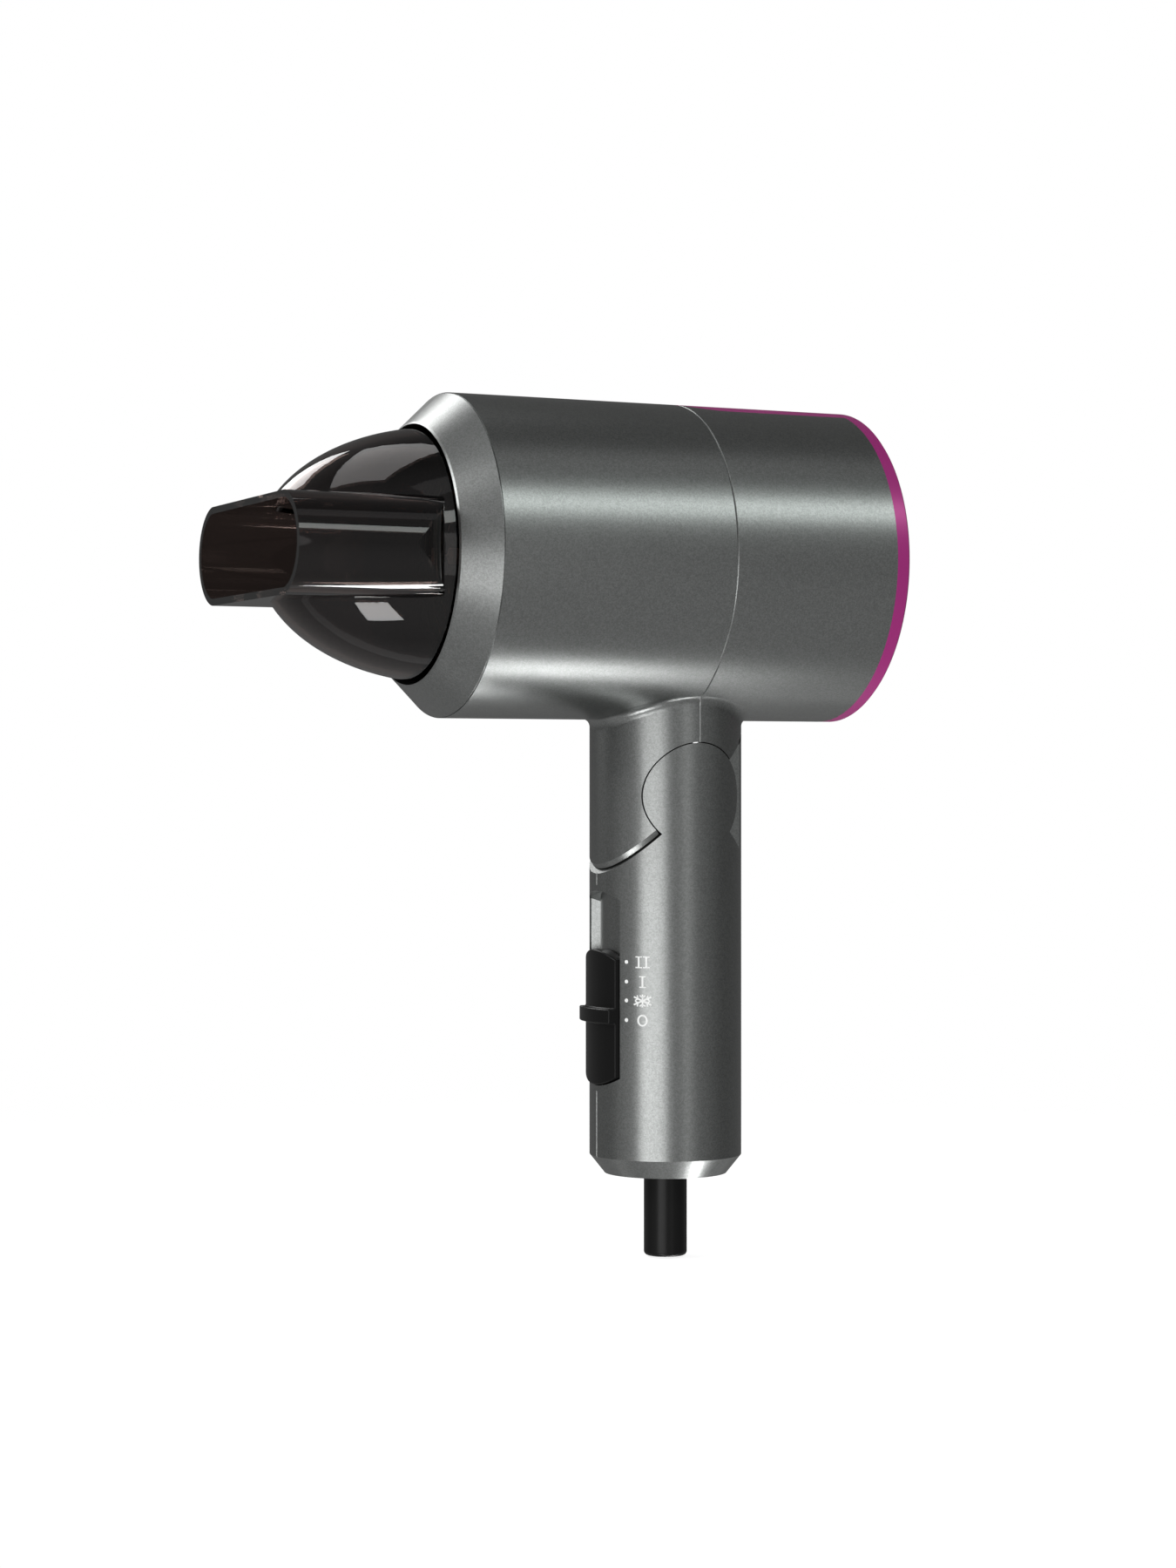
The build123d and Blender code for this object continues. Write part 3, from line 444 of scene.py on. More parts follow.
FINISHES: dict[Slot, Finish] = {
    Slot.SHELL: FlakeLacquer("gunmetal_lacquer", (0.215, 0.222, 0.218), 0.3, metallic=1.0, grain_scale=3300.0,
                             contrast=0.5, bump=0.22, bump_depth=0.00002, smear=0.04),
    Slot.TRIM: Finish("magenta_satin", (0.36, 0.02, 0.19), 0.34, metallic=0.25, grain_scale=3000.0,
                      contrast=0.16,
                      bump=0.1),
    Slot.SMOKE: SmokedClear("smoked_clear", (0.13, 0.095, 0.085), 0.02, ior=1.45, grain_scale=1500.0,
                            contrast=0.1,
                            bump=0.02, bump_depth=0.0002),
    Slot.GLOSS: Finish("black_satin_plastic", (0.005, 0.005, 0.005), 0.3, ior=1.25, contrast=0.3, bump=0.1),
    Slot.MATTE: Finish("black_textured_plastic", (0.012, 0.012, 0.012), 0.5, ior=1.35, contrast=0.4,
                       bump=0.35),
    Slot.MESH: Finish("punched_steel", (0.33, 0.33, 0.34), 0.38, metallic=1.0, contrast=0.3),
    Slot.SCREWS: WorkedMetal("screw_steel", (0.5, 0.5, 0.48), 0.28, metallic=1.0, ring_scale=5200.0,
                             bump=0.2),
    Slot.DUCT: Finish("duct_nylon", (0.036, 0.034, 0.033), 0.5, contrast=0.6, grain_scale=1500.0, bump=0.3),
    Slot.FAN: Finish("fan_nylon", (0.05, 0.052, 0.055), 0.42, contrast=0.3, grain_scale=1800.0, bump=0.2),
    Slot.STEEL: WorkedMetal("zinc_plated_steel", (0.56, 0.56, 0.54), 0.3, metallic=1.0, contrast=0.3,
                            bump=0.15),
    Slot.BRONZE: WorkedMetal("sintered_bronze", (0.45, 0.26, 0.1), 0.45, metallic=1.0, contrast=0.6,
                             grain_scale=5200.0, bump=0.3),
    Slot.MAGNET: Finish("ferrite", (0.045, 0.043, 0.042), 0.55, contrast=0.5, bump=0.3),
    Slot.COPPER: Finish("enamelled_copper", (0.62, 0.23, 0.075), 0.26, metallic=0.9, contrast=0.4),
    Slot.MICA: MicaSheet("mica_sheet", (0.4, 0.3, 0.17), 0.4, contrast=0.7, grain_scale=520.0, bump=0.3),
    Slot.HEAT: Finish("oxidised_wire", (0.2, 0.16, 0.13), 0.45, metallic=0.9, contrast=0.6,
                      grain_scale=1400.0),
    Slot.PLATED: WorkedMetal("nickel_plate", (0.6, 0.58, 0.53), 0.25, metallic=1.0, contrast=0.2),
    Slot.WHITE: Finish("white_plastic", (0.74, 0.73, 0.7), 0.45, contrast=0.1, bump=0.15),
    Slot.BOARD: TrackedBoard("solder_mask", (0.016, 0.11, 0.04), 0.36, contrast=0.2, bump=0.3),
    Slot.PARTS: Finish("component_epoxy", (0.12, 0.045, 0.02), 0.4, contrast=0.5, grain_scale=1200.0),
    Slot.SLEEVE: Finish("silicone_sleeve", (0.42, 0.05, 0.03), 0.48, contrast=0.3, grain_scale=1500.0),
    Slot.RUBBER: Finish("black_guard_rubber", (0.004, 0.004, 0.004), 0.34, ior=1.28, contrast=0.4, bump=0.2),
}
PRINT = Finish("white_print", (0.82, 0.83, 0.82), 0.5, contrast=0.06, bump=0.08)


def dress_nodes() -> None:
    """Gives every part of the frame the finish of its slot."""
    for name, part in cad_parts.items():
        for entry in part.material_slots:
            slot = Slot(entry.material.name.split(".")[0])
            entry.material = FINISHES[slot].build()
        LOG.info("part %s dressed", name)


# ---- making pieces ---------------------------------------------------------
@dataclass(frozen=True)
class Making:
    """How a finished mesh becomes a piece of the object."""

    name: str
    body: Body
    finish: Finish
    slot: Slot | None = None
    stands_for: tuple[str, ...] = ()
    smooth_angle: float = 35.0

    def piece(self, shape: bmesh.types.BMesh) -> bpy.types.Object:
        """Turns a bmesh into a piece that rides on its body.

        Args:
            shape: the mesh in the object's frame. It is freed.

        Returns:
            The piece.
        """
        bmesh.ops.recalc_face_normals(shape, faces=shape.faces)
        mesh = bpy.data.meshes.new(self.name)
        shape.to_mesh(mesh)
        shape.free()
        return self.placed(mesh)

    def placed(self, mesh: bpy.types.Mesh) -> bpy.types.Object:
        """Dresses a mesh and lets it ride on its body."""
        mesh.shade_smooth()
        mesh.set_sharp_from_angle(angle=math.radians(self.smooth_angle))
        mesh.materials.clear()
        mesh.materials.append(self.finish.build())
        piece = bpy.data.objects.new(self.name, mesh)
        bpy.context.scene.collection.objects.link(piece)
        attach(piece, self.body.value)
        if self.stands_for:
            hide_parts(*self.stands_for)
        LOG.info("piece %s: %d faces on %s", self.name, len(mesh.polygons), self.body.value)
        return piece


def tube_along(paths: Iterable[list[Vector]], radius: float, closed: bool, name: str,
               resolution: int = 0) -> bpy.types.Mesh:
    """A round wire along each path.

    Args:
        paths: the points of each wire's centre line.
        radius: the wire's radius.
        closed: whether each path is a loop.
        name: the mesh's name.
        resolution: the roundness of the wire's section.

    Returns:
        One mesh of all the wires.
    """
    curve = bpy.data.curves.new(name, "CURVE")
    curve.dimensions = "3D"
    curve.bevel_depth = radius
    curve.bevel_resolution = resolution
    curve.use_fill_caps = not closed
    for path in paths:
        spline = curve.splines.new("POLY")
        spline.points.add(len(path) - 1)
        for spot, place in zip(spline.points, path):
            spot.co = (*place, 1.0)
        spline.use_cyclic_u = closed
    holder = bpy.data.objects.new(name, curve)
    mesh = bpy.data.meshes.new_from_object(holder)
    mesh.name = name
    bpy.data.objects.remove(holder)
    bpy.data.curves.remove(curve)
    return mesh


def bar(shape: bmesh.types.BMesh, size: Point, place: Matrix, cuts: int = 0) -> list[bmesh.types.BMVert]:
    """Adds a box of a size, put in place, with its edges cut if it is to bend.

    Args:
        shape: the mesh to add to.
        size: the box's three lengths.
        place: the matrix that puts it in place.
        cuts: how many times each edge is cut.

    Returns:
        The box's eight corners.
    """
    made = bmesh.ops.create_cube(shape, size=1.0)["verts"]
    bmesh.ops.scale(shape, vec=size, verts=made)
    bmesh.ops.transform(shape, matrix=place, verts=made)
    if cuts:
        edges = list({edge for vert in made for edge in vert.link_edges})
        bmesh.ops.subdivide_edges(shape, edges=edges, cuts=cuts, use_grid_fill=True)
    return made


# ---- the switch's marks ----------------------------------------------------
@dataclass(frozen=True)
class SwitchMarks:
    """The printed dots and signs beside the switch, on the grip's round side."""

    grip_radius: float = 20.5 * MM
    print_height: float = 0.05 * MM
    print_root: float = 0.03 * MM
    dot_radius: float = 0.52 * MM
    dot_angle: float = 33.5
    sign_angle: float = 46.5
    sign_height: float = 3.1 * MM
    stem: float = 0.5 * MM
    serif: float = 0.3 * MM
    serif_width: float = 1.85 * MM
    pair_pitch: float = 2.1 * MM
    ring_width: float = 2.9 * MM
    ring_stroke: float = 0.5 * MM
    flake_width: float = 4.9 * MM
    flake_height: float = 3.4 * MM
    flake_stroke: float = 0.42 * MM
    flake_lean: float = 0.62
    barb: float = 0.95 * MM
    barb_stroke: float = 0.34 * MM
    barb_root: float = 0.52
    barb_turn: float = 125.0
    rows: tuple[float, float, float, float] = (13.2 * MM, 8.0 * MM, 3.0 * MM, -2.2 * MM)
    cuts: int = 5

    def build(self) -> None:
        """Makes the four signs, each with its dot."""
        high, low, cool, off = self.rows
        signs = (
            ("mark_high", high, lambda shape: self.numeral(shape, (-0.5, 0.5))),
            ("mark_low", low, lambda shape: self.numeral(shape, (0.0,))),
            ("mark_cool", cool, self.snowflake),
            ("mark_off", off, self.ring),
        )
        for name, height, draw in signs:
            shape = bmesh.new()
            draw(shape)
            self.dot(shape)
            self.wrap(shape, height)
            Making(name, Body.HANDLE, PRINT).piece(shape)

    def wrap(self, shape: bmesh.types.BMesh, height: float) -> None:
        """Wraps a flat sign on the grip.

        Args:
            shape: the sign, with x along the grip's girth, y up and z outwards.
            height: the height of its middle.
        """
        for vert in shape.verts:
            turn = math.radians(self.sign_angle) + vert.co.x / self.grip_radius
            reach = self.grip_radius + vert.co.z
            vert.co = (-reach * math.cos(turn), -reach * math.sin(turn), height + vert.co.y)

    def stroke(self, shape: bmesh.types.BMesh, start: Point, end: Point, width: float) -> None:
        """Adds one straight stroke between two flat points."""
        first, last = Vector(start), Vector(end)
        along = last - first
        place = Matrix.Translation((first + last) / 2) @ Matrix.Rotation(math.atan2(along.y, along.x), 4, "Z")
        thick = self.print_height + self.print_root
        lift = Matrix.Translation((0, 0, (self.print_height - self.print_root) / 2))
        bar(shape, (along.length, width, thick), place @ lift, self.cuts)

    def numeral(self, shape: bmesh.types.BMesh, places: tuple[float, ...]) -> None:
        """One or two upright strokes with serifs."""
        top = (self.sign_height - self.serif) / 2
        half = self.serif_width / 2
        for share in places:
            x = share * self.pair_pitch
            self.stroke(shape, (x, -top, 0), (x, top, 0), self.stem)
            for y in (-top, top):
                self.stroke(shape, (x - half, y, 0), (x + half, y, 0), self.serif)

    def snowflake(self, shape: bmesh.types.BMesh) -> None:
        """Six arms with a barb pair near each tip."""
        wide, tall = self.flake_width / 2, self.flake_height / 2
        low = tall * self.flake_lean
        for x, y in ((0, tall), (wide, low), (wide, -low), (0, -tall), (-wide, -low), (-wide, low)):
            self.stroke(shape, (0, 0, 0), (x, y, 0), self.flake_stroke)
            inward = Vector((-x, -y, 0)).normalized()
            root = Vector((x, y, 0)) * self.barb_root
            for turn in (-1, 1):
                way = Matrix.Rotation(turn * math.radians(self.barb_turn), 4, "Z") @ inward
                self.stroke(shape, tuple(root), tuple(root + way * self.barb), self.barb_stroke)

    def ring(self, shape: bmesh.types.BMesh) -> None:
        """An upright oval ring."""
        for inset in (0.0, self.ring_stroke):
            loop = bmesh.ops.create_circle(shape, segments=40, radius=1.0)["verts"]
            size = (self.ring_width / 2 - inset, self.sign_height / 2 - inset * 0.8, 1.0)
            bmesh.ops.scale(shape, vec=size, verts=loop)
        faces = bmesh.ops.bridge_loops(shape, edges=shape.edges)["faces"]
        self.thicken(shape, faces)

    def dot(self, shape: bmesh.types.BMesh) -> None:
        """The round dot between the switch and the sign."""
        place = Matrix.Translation((math.radians(self.dot_angle - self.sign_angle) * self.grip_radius, 0, 0))
        loop = bmesh.ops.create_circle(shape, segments=24, radius=self.dot_radius, cap_ends=True,
                                       matrix=place)
        self.thicken(shape, list({face for vert in loop["verts"] for face in vert.link_faces}))

    def thicken(self, shape: bmesh.types.BMesh, faces: list[bmesh.types.BMFace]) -> None:
        """Gives flat faces the print's thickness."""
        low = list({vert for face in faces for vert in face.verts})
        up = bmesh.ops.extrude_face_region(shape, geom=faces, use_keep_orig=True)
        high = [part for part in up["geom"] if isinstance(part, bmesh.types.BMVert)]
        bmesh.ops.translate(shape, vec=(0, 0, self.print_height), verts=high)
        bmesh.ops.translate(shape, vec=(0, 0, -self.print_root), verts=low)


# ---- screws ----------------------------------------------------------------
@dataclass(frozen=True)
class Screw:
    """A pan-head tapping screw with a cross recess, its head's seat at the origin, pointing to -X."""

    length: float
    head_radius: float = 2.2 * MM
    head_height: float = 1.6 * MM
    core_radius: float = 0.95 * MM
    thread_radius: float = 1.25 * MM
    pitch: float = 1.0 * MM
    threaded: float = 9.0 * MM
    recess_width: float = 0.62 * MM
    recess_reach: float = 2.5 * MM
    recess_depth: float = 0.95 * MM
    steps: int = 28

    def turned(self) -> bmesh.types.BMesh:
        """The head and the core, turned about X."""
        shape = bmesh.new()
        tip = 1.4 * MM
        crown = 0.35 * MM
        profile = [
            (-self.length, 0.0), (-self.length + tip, self.core_radius), (0.0, self.core_radius),
            (0.0, self.head_radius), (self.head_height - 2 * crown, self.head_radius),
            (self.head_height - crown, self.head_radius - crown), (self.head_height, self.head_radius * 0.45),
            (self.head_height, 0.0),
        ]
        verts = [shape.verts.new((x, 0.0, r)) for x, r in profile]
        edges = [shape.edges.new(pair) for pair in zip(verts, verts[1:])]
        bmesh.ops.spin(shape, geom=[*verts, *edges], cent=(0, 0, 0), axis=(1, 0, 0), angle=math.tau,
                       steps=self.steps, use_merge=True, use_duplicate=False)
        bmesh.ops.remove_doubles(shape, verts=shape.verts, dist=0.002 * MM)
        bmesh.ops.recalc_face_normals(shape, faces=shape.faces)
        return shape

    def cutter(self) -> bmesh.types.BMesh:
        """The cross that the recess is cut with, narrower at its foot."""
        shape = bmesh.new()
        for turn in (0.0, math.pi / 2):
            place = Matrix.Rotation(turn, 4, "X") @ Matrix.Translation((self.head_height, 0, 0))
            made = bar(shape, (2 * self.recess_depth, self.recess_reach, self.recess_width), place)
            foot = [vert for vert in made if vert.co.x < self.head_height]
            bmesh.ops.scale(shape, vec=(1, 0.55, 0.55), verts=foot)
        return shape

    def thread(self) -> bmesh.types.BMesh:
        """The screw's thread: a closed three-sided ridge wound about X."""
        shape = bmesh.new()
        start = -self.length + 1.6 * MM
        rise = self.pitch * 0.3
        corners = [(start - rise, self.core_radius * 0.9), (start, self.thread_radius),
                   (start + rise, self.core_radius * 0.9)]
        verts = [shape.verts.new((x, 0.0, r)) for x, r in corners]
        edges = [shape.edges.new((verts[i], verts[(i + 1) % 3])) for i in range(3)]
        turns = round(self.threaded / self.pitch)
        steps = turns * 14
        bmesh.ops.spin(shape, geom=[*verts, *edges], cent=(0, 0, 0), axis=(1, 0, 0),
                       dvec=(self.threaded / steps, 0, 0),
                       angle=math.tau * turns, steps=steps, use_duplicate=False)
        ends = [edge for edge in shape.edges if edge.is_boundary]
        bmesh.ops.holes_fill(shape, edges=ends, sides=4)
        bmesh.ops.recalc_face_normals(shape, faces=shape.faces)
        return shape

    def mesh(self) -> bpy.types.Mesh:
        """The whole screw as one mesh."""
        blank = held(self.turned(), "screw_blank")
        tool = held(self.cutter(), "screw_cutter")
        cut = blank.modifiers.new("recess", "BOOLEAN")
        cut.operation = "DIFFERENCE"
        cut.solver = "EXACT"
        cut.use_self = True
        cut.object = tool
        graph = bpy.context.evaluated_depsgraph_get()
        whole = bmesh.new()
        whole.from_mesh(bpy.data.meshes.new_from_object(blank.evaluated_get(graph)))
        ridge = bpy.data.meshes.new("screw_thread")
        wound = self.thread()
        wound.to_mesh(ridge)
        wound.free()
        whole.from_mesh(ridge)
        mesh = bpy.data.meshes.new("screw")
        whole.to_mesh(mesh)
        whole.free()
        for thing in (blank, tool):
            bpy.data.objects.remove(thing)
        return mesh


def held(shape: bmesh.types.BMesh, name: str) -> bpy.types.Object:
    """A helper object for a modifier, which its maker removes."""
    mesh = bpy.data.meshes.new(name)
    shape.to_mesh(mesh)
    shape.free()
    thing = bpy.data.objects.new(name, mesh)
    bpy.context.scene.collection.objects.link(thing)
    return thing


@dataclass(frozen=True)
class ScrewSet:
    """Several equal screws that stand for one part of the frame."""

    node: str
    body: Body
    along: Point
    seat: float
    screw: Screw

    def build(self) -> None:
        """Puts a screw at each place of the frame's own screws."""
        mesh = self.screw.mesh()
        way = Vector(self.along)
        turn = Vector((1, 0, 0)).rotation_difference(way).to_matrix().to_4x4()
        shape = bmesh.new()
        for place in self.places():
            start = len(shape.verts)
            shape.from_mesh(mesh)
            shape.verts.ensure_lookup_table()
            added = shape.verts[start:]
            bmesh.ops.transform(shape, matrix=Matrix.Translation(place + way * self.seat) @ turn, verts=added)
        Making(self.node + "_threaded", self.body, FINISHES[Slot.SCREWS], Slot.SCREWS,
               (self.node,)).piece(shape)

    def places(self) -> list[Vector]:
        """The middle of each separate solid of the frame's part, flattened along the screws."""
        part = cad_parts[self.node]
        way = Vector(self.along)
        spots: list[list[Vector]] = []
        for vert in part.data.vertices:
            flat = vert.co - way * vert.co.dot(way)
            near = [group for group in spots if (group[0] - flat).length < 6 * MM]
            if near:
                near[0].append(flat)
            else:
                spots.append([flat])
        middles = []
        for group in spots:
            low = Vector(map(min, zip(*group)))
            high = Vector(map(max, zip(*group)))
            middles.append((low + high) / 2)
        return middles


# ---- heater, motor, intake -------------------------------------------------
@dataclass(frozen=True)
class WoundHeater:
    """The heating wire, wound into a fine coil and laid in rings round the mica boards."""

    rows: tuple[float, float] = (25.0 * MM, 17.0 * MM)
    coil_radius: float = 0.62 * MM
    wire_radius: float = 0.16 * MM
    loop_pitch: float = 1.5 * MM
    loop_points: int = 7
    turns: int = 8
    end_gap: float = 4.0 * MM

    def build(self) -> None:
        """Makes all the rings as one piece."""
        low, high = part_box("heater_frame")
        axis = (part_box("mica_tube")[0].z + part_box("mica_tube")[1].z) / 2
        pitch = (high.x - low.x - 2 * self.end_gap) / (self.turns - 1)
        paths = [
            self.ring(low.x + self.end_gap + index * pitch, radius, axis)
            for radius in self.rows for index in range(self.turns)
        ]
        mesh = tube_along(paths, self.wire_radius, True, "wound_heating_wire")
        Making("wound_heating_wire", Body.HEAD, FINISHES[Slot.HEAT], Slot.HEAT, ("heater_coils",),
               60.0).placed(mesh)

    def ring(self, x: float, radius: float, axis: float) -> list[Vector]:
        """The wire's path round one ring.

        Args:
            x: where the ring lies along the barrel.
            radius: the ring's radius.
            axis: the height of the barrel's axis.

        Returns:
            The points of a closed path.
        """
        loops = round(math.tau * radius / self.loop_pitch)
        count = loops * self.loop_points
        path = []
        for index in range(count):
            round_barrel = math.tau * index / count
            round_wire = math.tau * index / self.loop_points
            reach = radius + self.coil_radius * math.cos(round_wire)
            path.append(Vector((x + self.coil_radius * math.sin(round_wire), reach * math.sin(round_barrel),
                                axis + reach * math.cos(round_barrel))))
        return path


@dataclass(frozen=True)
class Windings:
    """The copper coils on the motor's three poles."""

    poles: int = 3
    layers: tuple[float, ...] = (6.5 * MM, 7.05 * MM, 7.6 * MM, 8.15 * MM, 8.7 * MM)
    slot_lean: float = 4.0
    wire_radius: float = 0.26 * MM
    overhang: float = 1.0 * MM
    core_length: float = 12.0 * MM
    corner_radius: float = 1.6 * MM
    corner_points: int = 5

    def build(self) -> None:
        """Makes the three coils as one piece on the rotor."""
        shaft_low, shaft_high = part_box("motor_shaft")
        axis = (shaft_low.z + shaft_high.z) / 2
        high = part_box("motor_armature")[1]
        core_start = high.x - self.core_length
        paths = []
        for pole in range(self.poles):
            turn = Matrix.Rotation(math.tau * (pole + 0.5) / self.poles, 4, "X")
            for layer in self.layers:
                loop = self.loop(layer, core_start - self.overhang, high.x + self.overhang)
                paths.append([turn @ point + Vector((0, 0, axis)) for point in loop])
        mesh = tube_along(paths, self.wire_radius, True, "armature_windings", 1)
        Making("armature_windings", Body.ROTOR, FINISHES[Slot.COPPER], Slot.COPPER, (), 60.0).placed(mesh)

    def loop(self, layer: float, start: float, end: float) -> list[Vector]:
        """One turn of wire round a pole that points up, from start to end along the shaft."""
        lean = math.radians(60 - self.slot_lean)
        side, rise = layer * math.sin(lean), layer * math.cos(lean)
        corner = self.corner_radius
        path = []
        for way_x, way_y in ((-1, -1), (1, -1), (1, 1), (-1, 1)):
            centre = Vector(((end if way_x > 0 else start) - way_x * corner, way_y * (side - corner), rise))
            first = math.atan2(way_y, way_x) - math.pi / 4
            for index in range(self.corner_points):
                angle = first + math.pi / 2 * index / (self.corner_points - 1)
                path.append(centre + corner * Vector((math.cos(angle), math.sin(angle), 0)))
        return path


@dataclass(frozen=True)
class LintScreen:
    """The fine wire screen that lies on the punched plate behind the intake grille."""

    pitch: float = 1.35 * MM
    wire_radius: float = 0.15 * MM
    rim_radius: float = 36.9 * MM
    rim_width: float = 1.6 * MM
    stand_off: float = 0.5 * MM

    def build(self) -> None:
        """Makes two layers of straight wires in a flat rim."""
        low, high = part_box("intake_filter")
        centre = Vector((high.x + self.stand_off, 0, (low.z + high.z) / 2))
        shape = bmesh.new()
        count = int(self.rim_radius / self.pitch)
        for layer, axis in enumerate(("Y", "Z")):
            for index in range(-count, count + 1):
                self.wire(shape, centre, layer, axis, index * self.pitch)
        self.rim(shape, centre)
        Making("lint_screen", Body.HEAD, FINISHES[Slot.MESH], Slot.MESH).piece(shape)

    def wire(self, shape: bmesh.types.BMesh, centre: Vector, layer: int, axis: str, offset: float) -> None:
        """Adds one straight wire.

        Args:
            shape: the screen's mesh.
            centre: the screen's middle.
            layer: 0 or 1, the layer that it lies in.
            axis: the direction in which the wires of its layer are spread.
            offset: how far it lies from the middle.
        """
        reach = math.sqrt(max(self.rim_radius ** 2 - offset ** 2, 0.0)) - self.rim_width / 3
        if reach <= self.pitch:
            return
        turn = Matrix.Rotation(0.0 if axis == "Y" else math.pi / 2, 4, "X")
        shift = Vector((layer * 2 * self.wire_radius, offset, 0) if axis == "Y"
                       else (layer * 2 * self.wire_radius, 0, offset))
        place = Matrix.Translation(centre + shift) @ turn
        bmesh.ops.create_cone(shape, cap_ends=True, segments=5, radius1=self.wire_radius,
                              radius2=self.wire_radius,
                              depth=2 * reach, matrix=place)

    def rim(self, shape: bmesh.types.BMesh, centre: Vector) -> None:
        """Adds the pressed rim that holds the wires' ends."""
        half = 2 * self.wire_radius
        inner, outer = self.rim_radius - self.rim_width, self.rim_radius
        corners = [(-half, inner), (-half, outer), (2 * half, outer), (2 * half, inner)]
        verts = [shape.verts.new(centre + Vector((x, 0, r))) for x, r in corners]
        edges = [shape.edges.new((verts[i], verts[(i + 1) % 4])) for i in range(4)]
        bmesh.ops.spin(shape, geom=[*verts, *edges], cent=centre, axis=(1, 0, 0), angle=math.tau, steps=72,
                       use_merge=True, use_duplicate=False)


@dataclass(frozen=True)
class BoardTrim:
    """Solder beads along the board and the copper winding of its choke."""

    bead_radius: float = 0.75 * MM
    bead_height: float = 0.5 * MM
    bead_rows: tuple[float, ...] = (-25.0 * MM, -9.0 * MM, 6.8 * MM, 15.2 * MM, 23.5 * MM)
    bead_pitch: float = 4.5 * MM
    bead_count: int = 4
    choke_place: tuple[float, float] = (6.0 * MM, -18.0 * MM)
    choke_radius: float = 4.0 * MM
    wire_radius: float = 0.28 * MM
    choke_turns: int = 9
    turn_steps: int = 20

    def build(self) -> None:
        """Makes the beads and the winding."""
        low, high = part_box("circuit_board")
        shape = bmesh.new()
        for row in self.bead_rows:
            for index in range(self.bead_count):
                place = Matrix.Translation((low.x, (index - (self.bead_count - 1) / 2) * self.bead_pitch,
                                            row))
                squashed = Matrix.Diagonal((self.bead_height, self.bead_radius, self.bead_radius, 1.0))
                bmesh.ops.create_uvsphere(shape, u_segments=12, v_segments=8, radius=1.0,
                                          matrix=place @ squashed)
        Making("solder_beads", Body.HANDLE, FINISHES[Slot.PLATED], Slot.PLATED).piece(shape)
        y, z = self.choke_place
        reach = self.choke_radius + self.wire_radius
        count = self.choke_turns * self.turn_steps
        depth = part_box("board_parts")[1].x - high.x - 2 * self.wire_radius
        path = [
            Vector((high.x + self.wire_radius + depth * index / count,
                    y + reach * math.cos(math.tau * index / self.turn_steps),
                    z + reach * math.sin(math.tau * index / self.turn_steps)))
            for index in range(count + 1)
        ]
        mesh = tube_along([path], self.wire_radius, False, "choke_winding", 1)
        Making("choke_winding", Body.HANDLE, FINISHES[Slot.COPPER], Slot.COPPER, (), 60.0).placed(mesh)


# ---- studio ----------------------------------------------------------------
@dataclass(frozen=True)
class Softbox:
    """A flat studio light that the camera doesn't see."""

    name: str
    place: Point
    target: Point
    width: float
    height: float
    radiance: float
    tint: Colour = (1.0, 1.0, 1.0)

    def build(self) -> None:
        """Makes the light, with its power from its radiance and size."""
        data = bpy.data.lights.new(self.name, "AREA")
        data.shape = "RECTANGLE"
        data.size = self.width
        data.size_y = self.height
        data.energy = self.radiance * self.width * self.height * math.pi
        data.color = self.tint
        lamp = bpy.data.objects.new(self.name, data)
        lamp.location = self.place
        look = Vector(self.target) - Vector(self.place)
        lamp.rotation_euler = look.to_track_quat("-Z", "Y").to_euler()
        lamp.visible_camera = False
        bpy.context.scene.collection.objects.link(lamp)


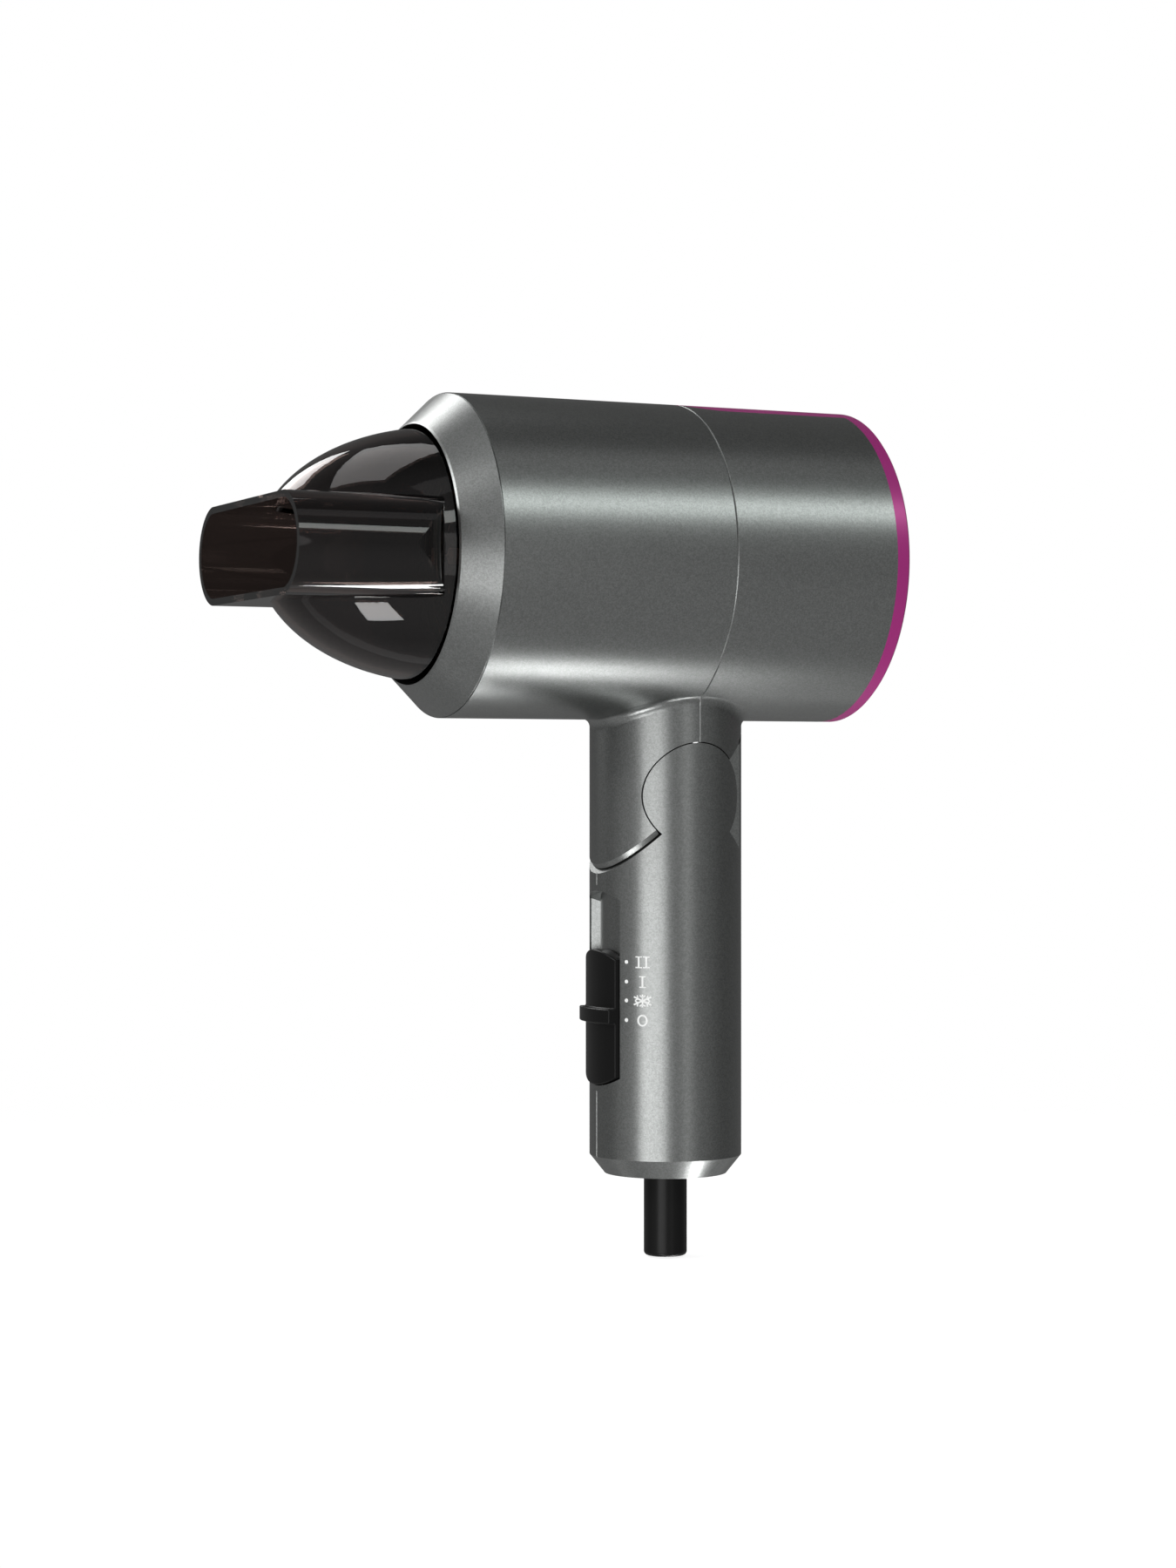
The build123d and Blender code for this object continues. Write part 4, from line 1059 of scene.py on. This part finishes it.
@dataclass(frozen=True)
class Studio:
    """A pale floor that fades into a white surround, soft lights and the camera."""

    camera_place: Point = (-0.3823, -0.7698, 0.0603)
    camera_way: Point = (0.4229, 0.9062, 0.0)
    lens: float = 73.0
    sensor: float = 36.0
    floor_radius: float = 0.75
    floor_drop: float = 0.4 * MM
    surround: float = 1.0
    ambient: float = 0.023
    glows: tuple[tuple[Point, float], ...] = (
        ((-0.4229, -0.9062, 0.0), 0.34), ((0.4229, 0.9062, 0.0), 0.05), ((0.0, 0.0, 1.0), 0.075),
        ((0.0, 0.0, -1.0), 0.313), ((0.9062, -0.4229, 0.0), 0.116), ((-0.9062, 0.4229, 0.0), 0.172),
    )

    def build(self) -> None:
        """Makes the floor, the surround, the lights and the camera."""
        self.make_floor()
        self.make_surround()
        for light in self.lights():
            light.build()
        self.make_camera()
        bpy.context.scene.view_settings.view_transform = "Standard"

    def lights(self) -> tuple[Softbox, ...]:
        """The studio's soft lights."""
        middle = (0.0, 0.0, 0.03)
        barrel = (0.0, -0.04, 0.135)
        bezel = (-0.06, -0.02, 0.1)
        grip = (0.0, 0.0, 0.12)
        return (
            Softbox("long_strip", (0.76, -1.36, 1.12), barrel, 2.4, 0.34, 4.0, (0.94, 1.0, 0.975)),
            Softbox("front_panel", (-0.86, -0.9, -0.12), middle, 0.85, 0.5, 2.9),
            Softbox("front_strip", (-0.778, -0.913, -0.1), middle, 0.16, 1.2, 0.32),
            Softbox("right_strip", (0.15, -1.2, 0.05), middle, 0.3, 0.8, 0.64),
            Softbox("bezel_panel", (-0.83, -0.48, -0.22), bezel, 0.25, 0.25, 1.5),
            Softbox("low_side_panel", (-1.0, 0.0, -0.3), (-0.1, 0.0, 0.1), 0.5, 0.5, 0.12),
            Softbox("high_side_panel", (-1.0, 0.1, 0.6), (-0.1, 0.0, 0.1), 0.5, 0.5, 5.9),
            Softbox("chin_panel", (-0.41, -0.396, -0.79), (-0.015, -0.013, 0.043), 0.32, 0.32, 8.0),
            Softbox("floor_strip", (0.1, 0.03, -0.3), (-0.03, -0.02, 0.1), 0.22, 0.04, 19.0),
            Softbox("rear_floor_strip", (0.07, 0.16, -0.3), (0.07, -0.02, 0.1), 1.4, 0.08, 0.22),
            Softbox("top_panel", (-0.2, 0.2, 1.3), grip, 1.0, 0.6, 1.9),
            Softbox("dome_panel", (-0.36, 0.95, 0.8), (-0.09, 0.0, 0.12), 0.55, 0.6, 5.0),
            Softbox("front_top_strip", (0.3, -0.5, 1.2), grip, 1.0, 0.3, 0.27),
            Softbox("left_rear_panel", (-1.1, 1.2, 0.6), (0.0, 0.0, 0.1), 0.8, 1.0, 0.32),
        )

    def make_floor(self) -> None:
        """A round floor just under the object, lost in the white towards its rim."""
        shape = bmesh.new()
        bmesh.ops.create_circle(shape, cap_ends=True, segments=96, radius=self.floor_radius,
                                matrix=Matrix.Translation((0, 0, CAD_BOX[0].z - self.floor_drop)))
        mesh = bpy.data.meshes.new("studio_floor")
        shape.to_mesh(mesh)
        shape.free()
        mesh.materials.append(self.floor_material())
        floor = bpy.data.objects.new("studio_floor", mesh)
        bpy.context.scene.collection.objects.link(floor)
        floor.visible_diffuse = False
        floor.visible_glossy = False
        floor.visible_transmission = False
        floor.visible_shadow = False

    def floor_material(self) -> bpy.types.Material:
        """Pale paper that glows a little and fades out towards the rim."""
        material = bpy.data.materials.new("studio_paper")
        material.use_nodes = True
        material.node_tree.nodes.clear()
        bench = Bench(material.node_tree)
        shader = bench.add("BsdfPrincipled", {
            "Base Color": (0.3, 0.3, 0.3, 1.0), "Roughness": 0.9, "Specular IOR Level": 0.0,
            "Emission Color": (1.0, 1.0, 1.0, 1.0), "Emission Strength": 0.86,
        })
        out = bench.add("OutputMaterial")
        bench.join(shader.outputs[0], out.inputs["Surface"])
        where = bench.add("TexCoord")
        reach = bench.add("VectorMath", operation="LENGTH")
        bench.join(where.outputs["Object"], reach.inputs[0])
        fade = bench.add("MapRange", {"From Min": 0.12, "From Max": self.floor_radius * 0.6, "To Min": 1.0,
                                      "To Max": 0.0}, interpolation_type="SMOOTHSTEP")
        bench.join(reach.outputs["Value"], fade.inputs["Value"])
        bench.join(fade.outputs["Result"], shader.inputs["Alpha"])
        return material

    def make_surround(self) -> None:
        """White where the camera looks, and for the surfaces a grey that is lighter in front."""
        world = bpy.data.worlds.new("studio_surround")
        bpy.context.scene.world = world
        world.use_nodes = True
        world.node_tree.nodes.clear()
        bench = Bench(world.node_tree)
        white = bench.add("Background", {"Color": (1.0, 1.0, 1.0, 1.0), "Strength": self.surround})
        dim = bench.add("Background", {"Color": (1.0, 1.0, 1.0, 1.0)})
        way = bench.add("TexCoord").outputs["Generated"]
        glow: bpy.types.NodeSocket | float = self.ambient
        for towards, strength in self.glows:
            facing = bench.add("VectorMath", {1: towards}, operation="DOT_PRODUCT")
            bench.join(way, facing.inputs[0])
            share = bench.maths("MULTIPLY", bench.maths("MAXIMUM", facing.outputs["Value"], 0.0), strength)
            glow = bench.maths("ADD", share, glow)
        bench.join(glow, dim.inputs["Strength"])
        seen = bench.add("LightPath")
        mix = bench.add("MixShader")
        bench.join(seen.outputs["Is Camera Ray"], mix.inputs[0])
        bench.join(dim.outputs[0], mix.inputs[1])
        bench.join(white.outputs[0], mix.inputs[2])
        bench.join(mix.outputs[0], bench.add("OutputWorld").inputs["Surface"])

    def make_camera(self) -> None:
        """A level camera, low and to the front left."""
        data = bpy.data.cameras.new("studio_camera")
        data.lens = self.lens
        data.sensor_width = self.sensor
        data.clip_start, data.clip_end = 0.01, 20.0
        camera = bpy.data.objects.new("studio_camera", data)
        camera.location = self.camera_place
        camera.rotation_euler = Vector(self.camera_way).to_track_quat("-Z", "Y").to_euler()
        bpy.context.scene.collection.objects.link(camera)
        bpy.context.scene.camera = camera


def main() -> None:
    """Dresses the parts and builds every piece and the studio."""
    logging.basicConfig(level=logging.INFO, format="%(message)s")
    dress_nodes()
    SwitchMarks().build()
    ScrewSet("head_screws", Body.HEAD, (1.0, 0.0, 0.0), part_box("head_screws")[1].x - 1.6 * MM,
             Screw(length=35.0 * MM)).build()
    ScrewSet("handle_screws", Body.HANDLE, (0.0, 1.0, 0.0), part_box("handle_screws")[1].y - 1.6 * MM,
             Screw(length=21.0 * MM)).build()
    WoundHeater().build()
    Windings().build()
    LintScreen().build()
    BoardTrim().build()
    Studio().build()


if __name__ == "__main__":
    main()
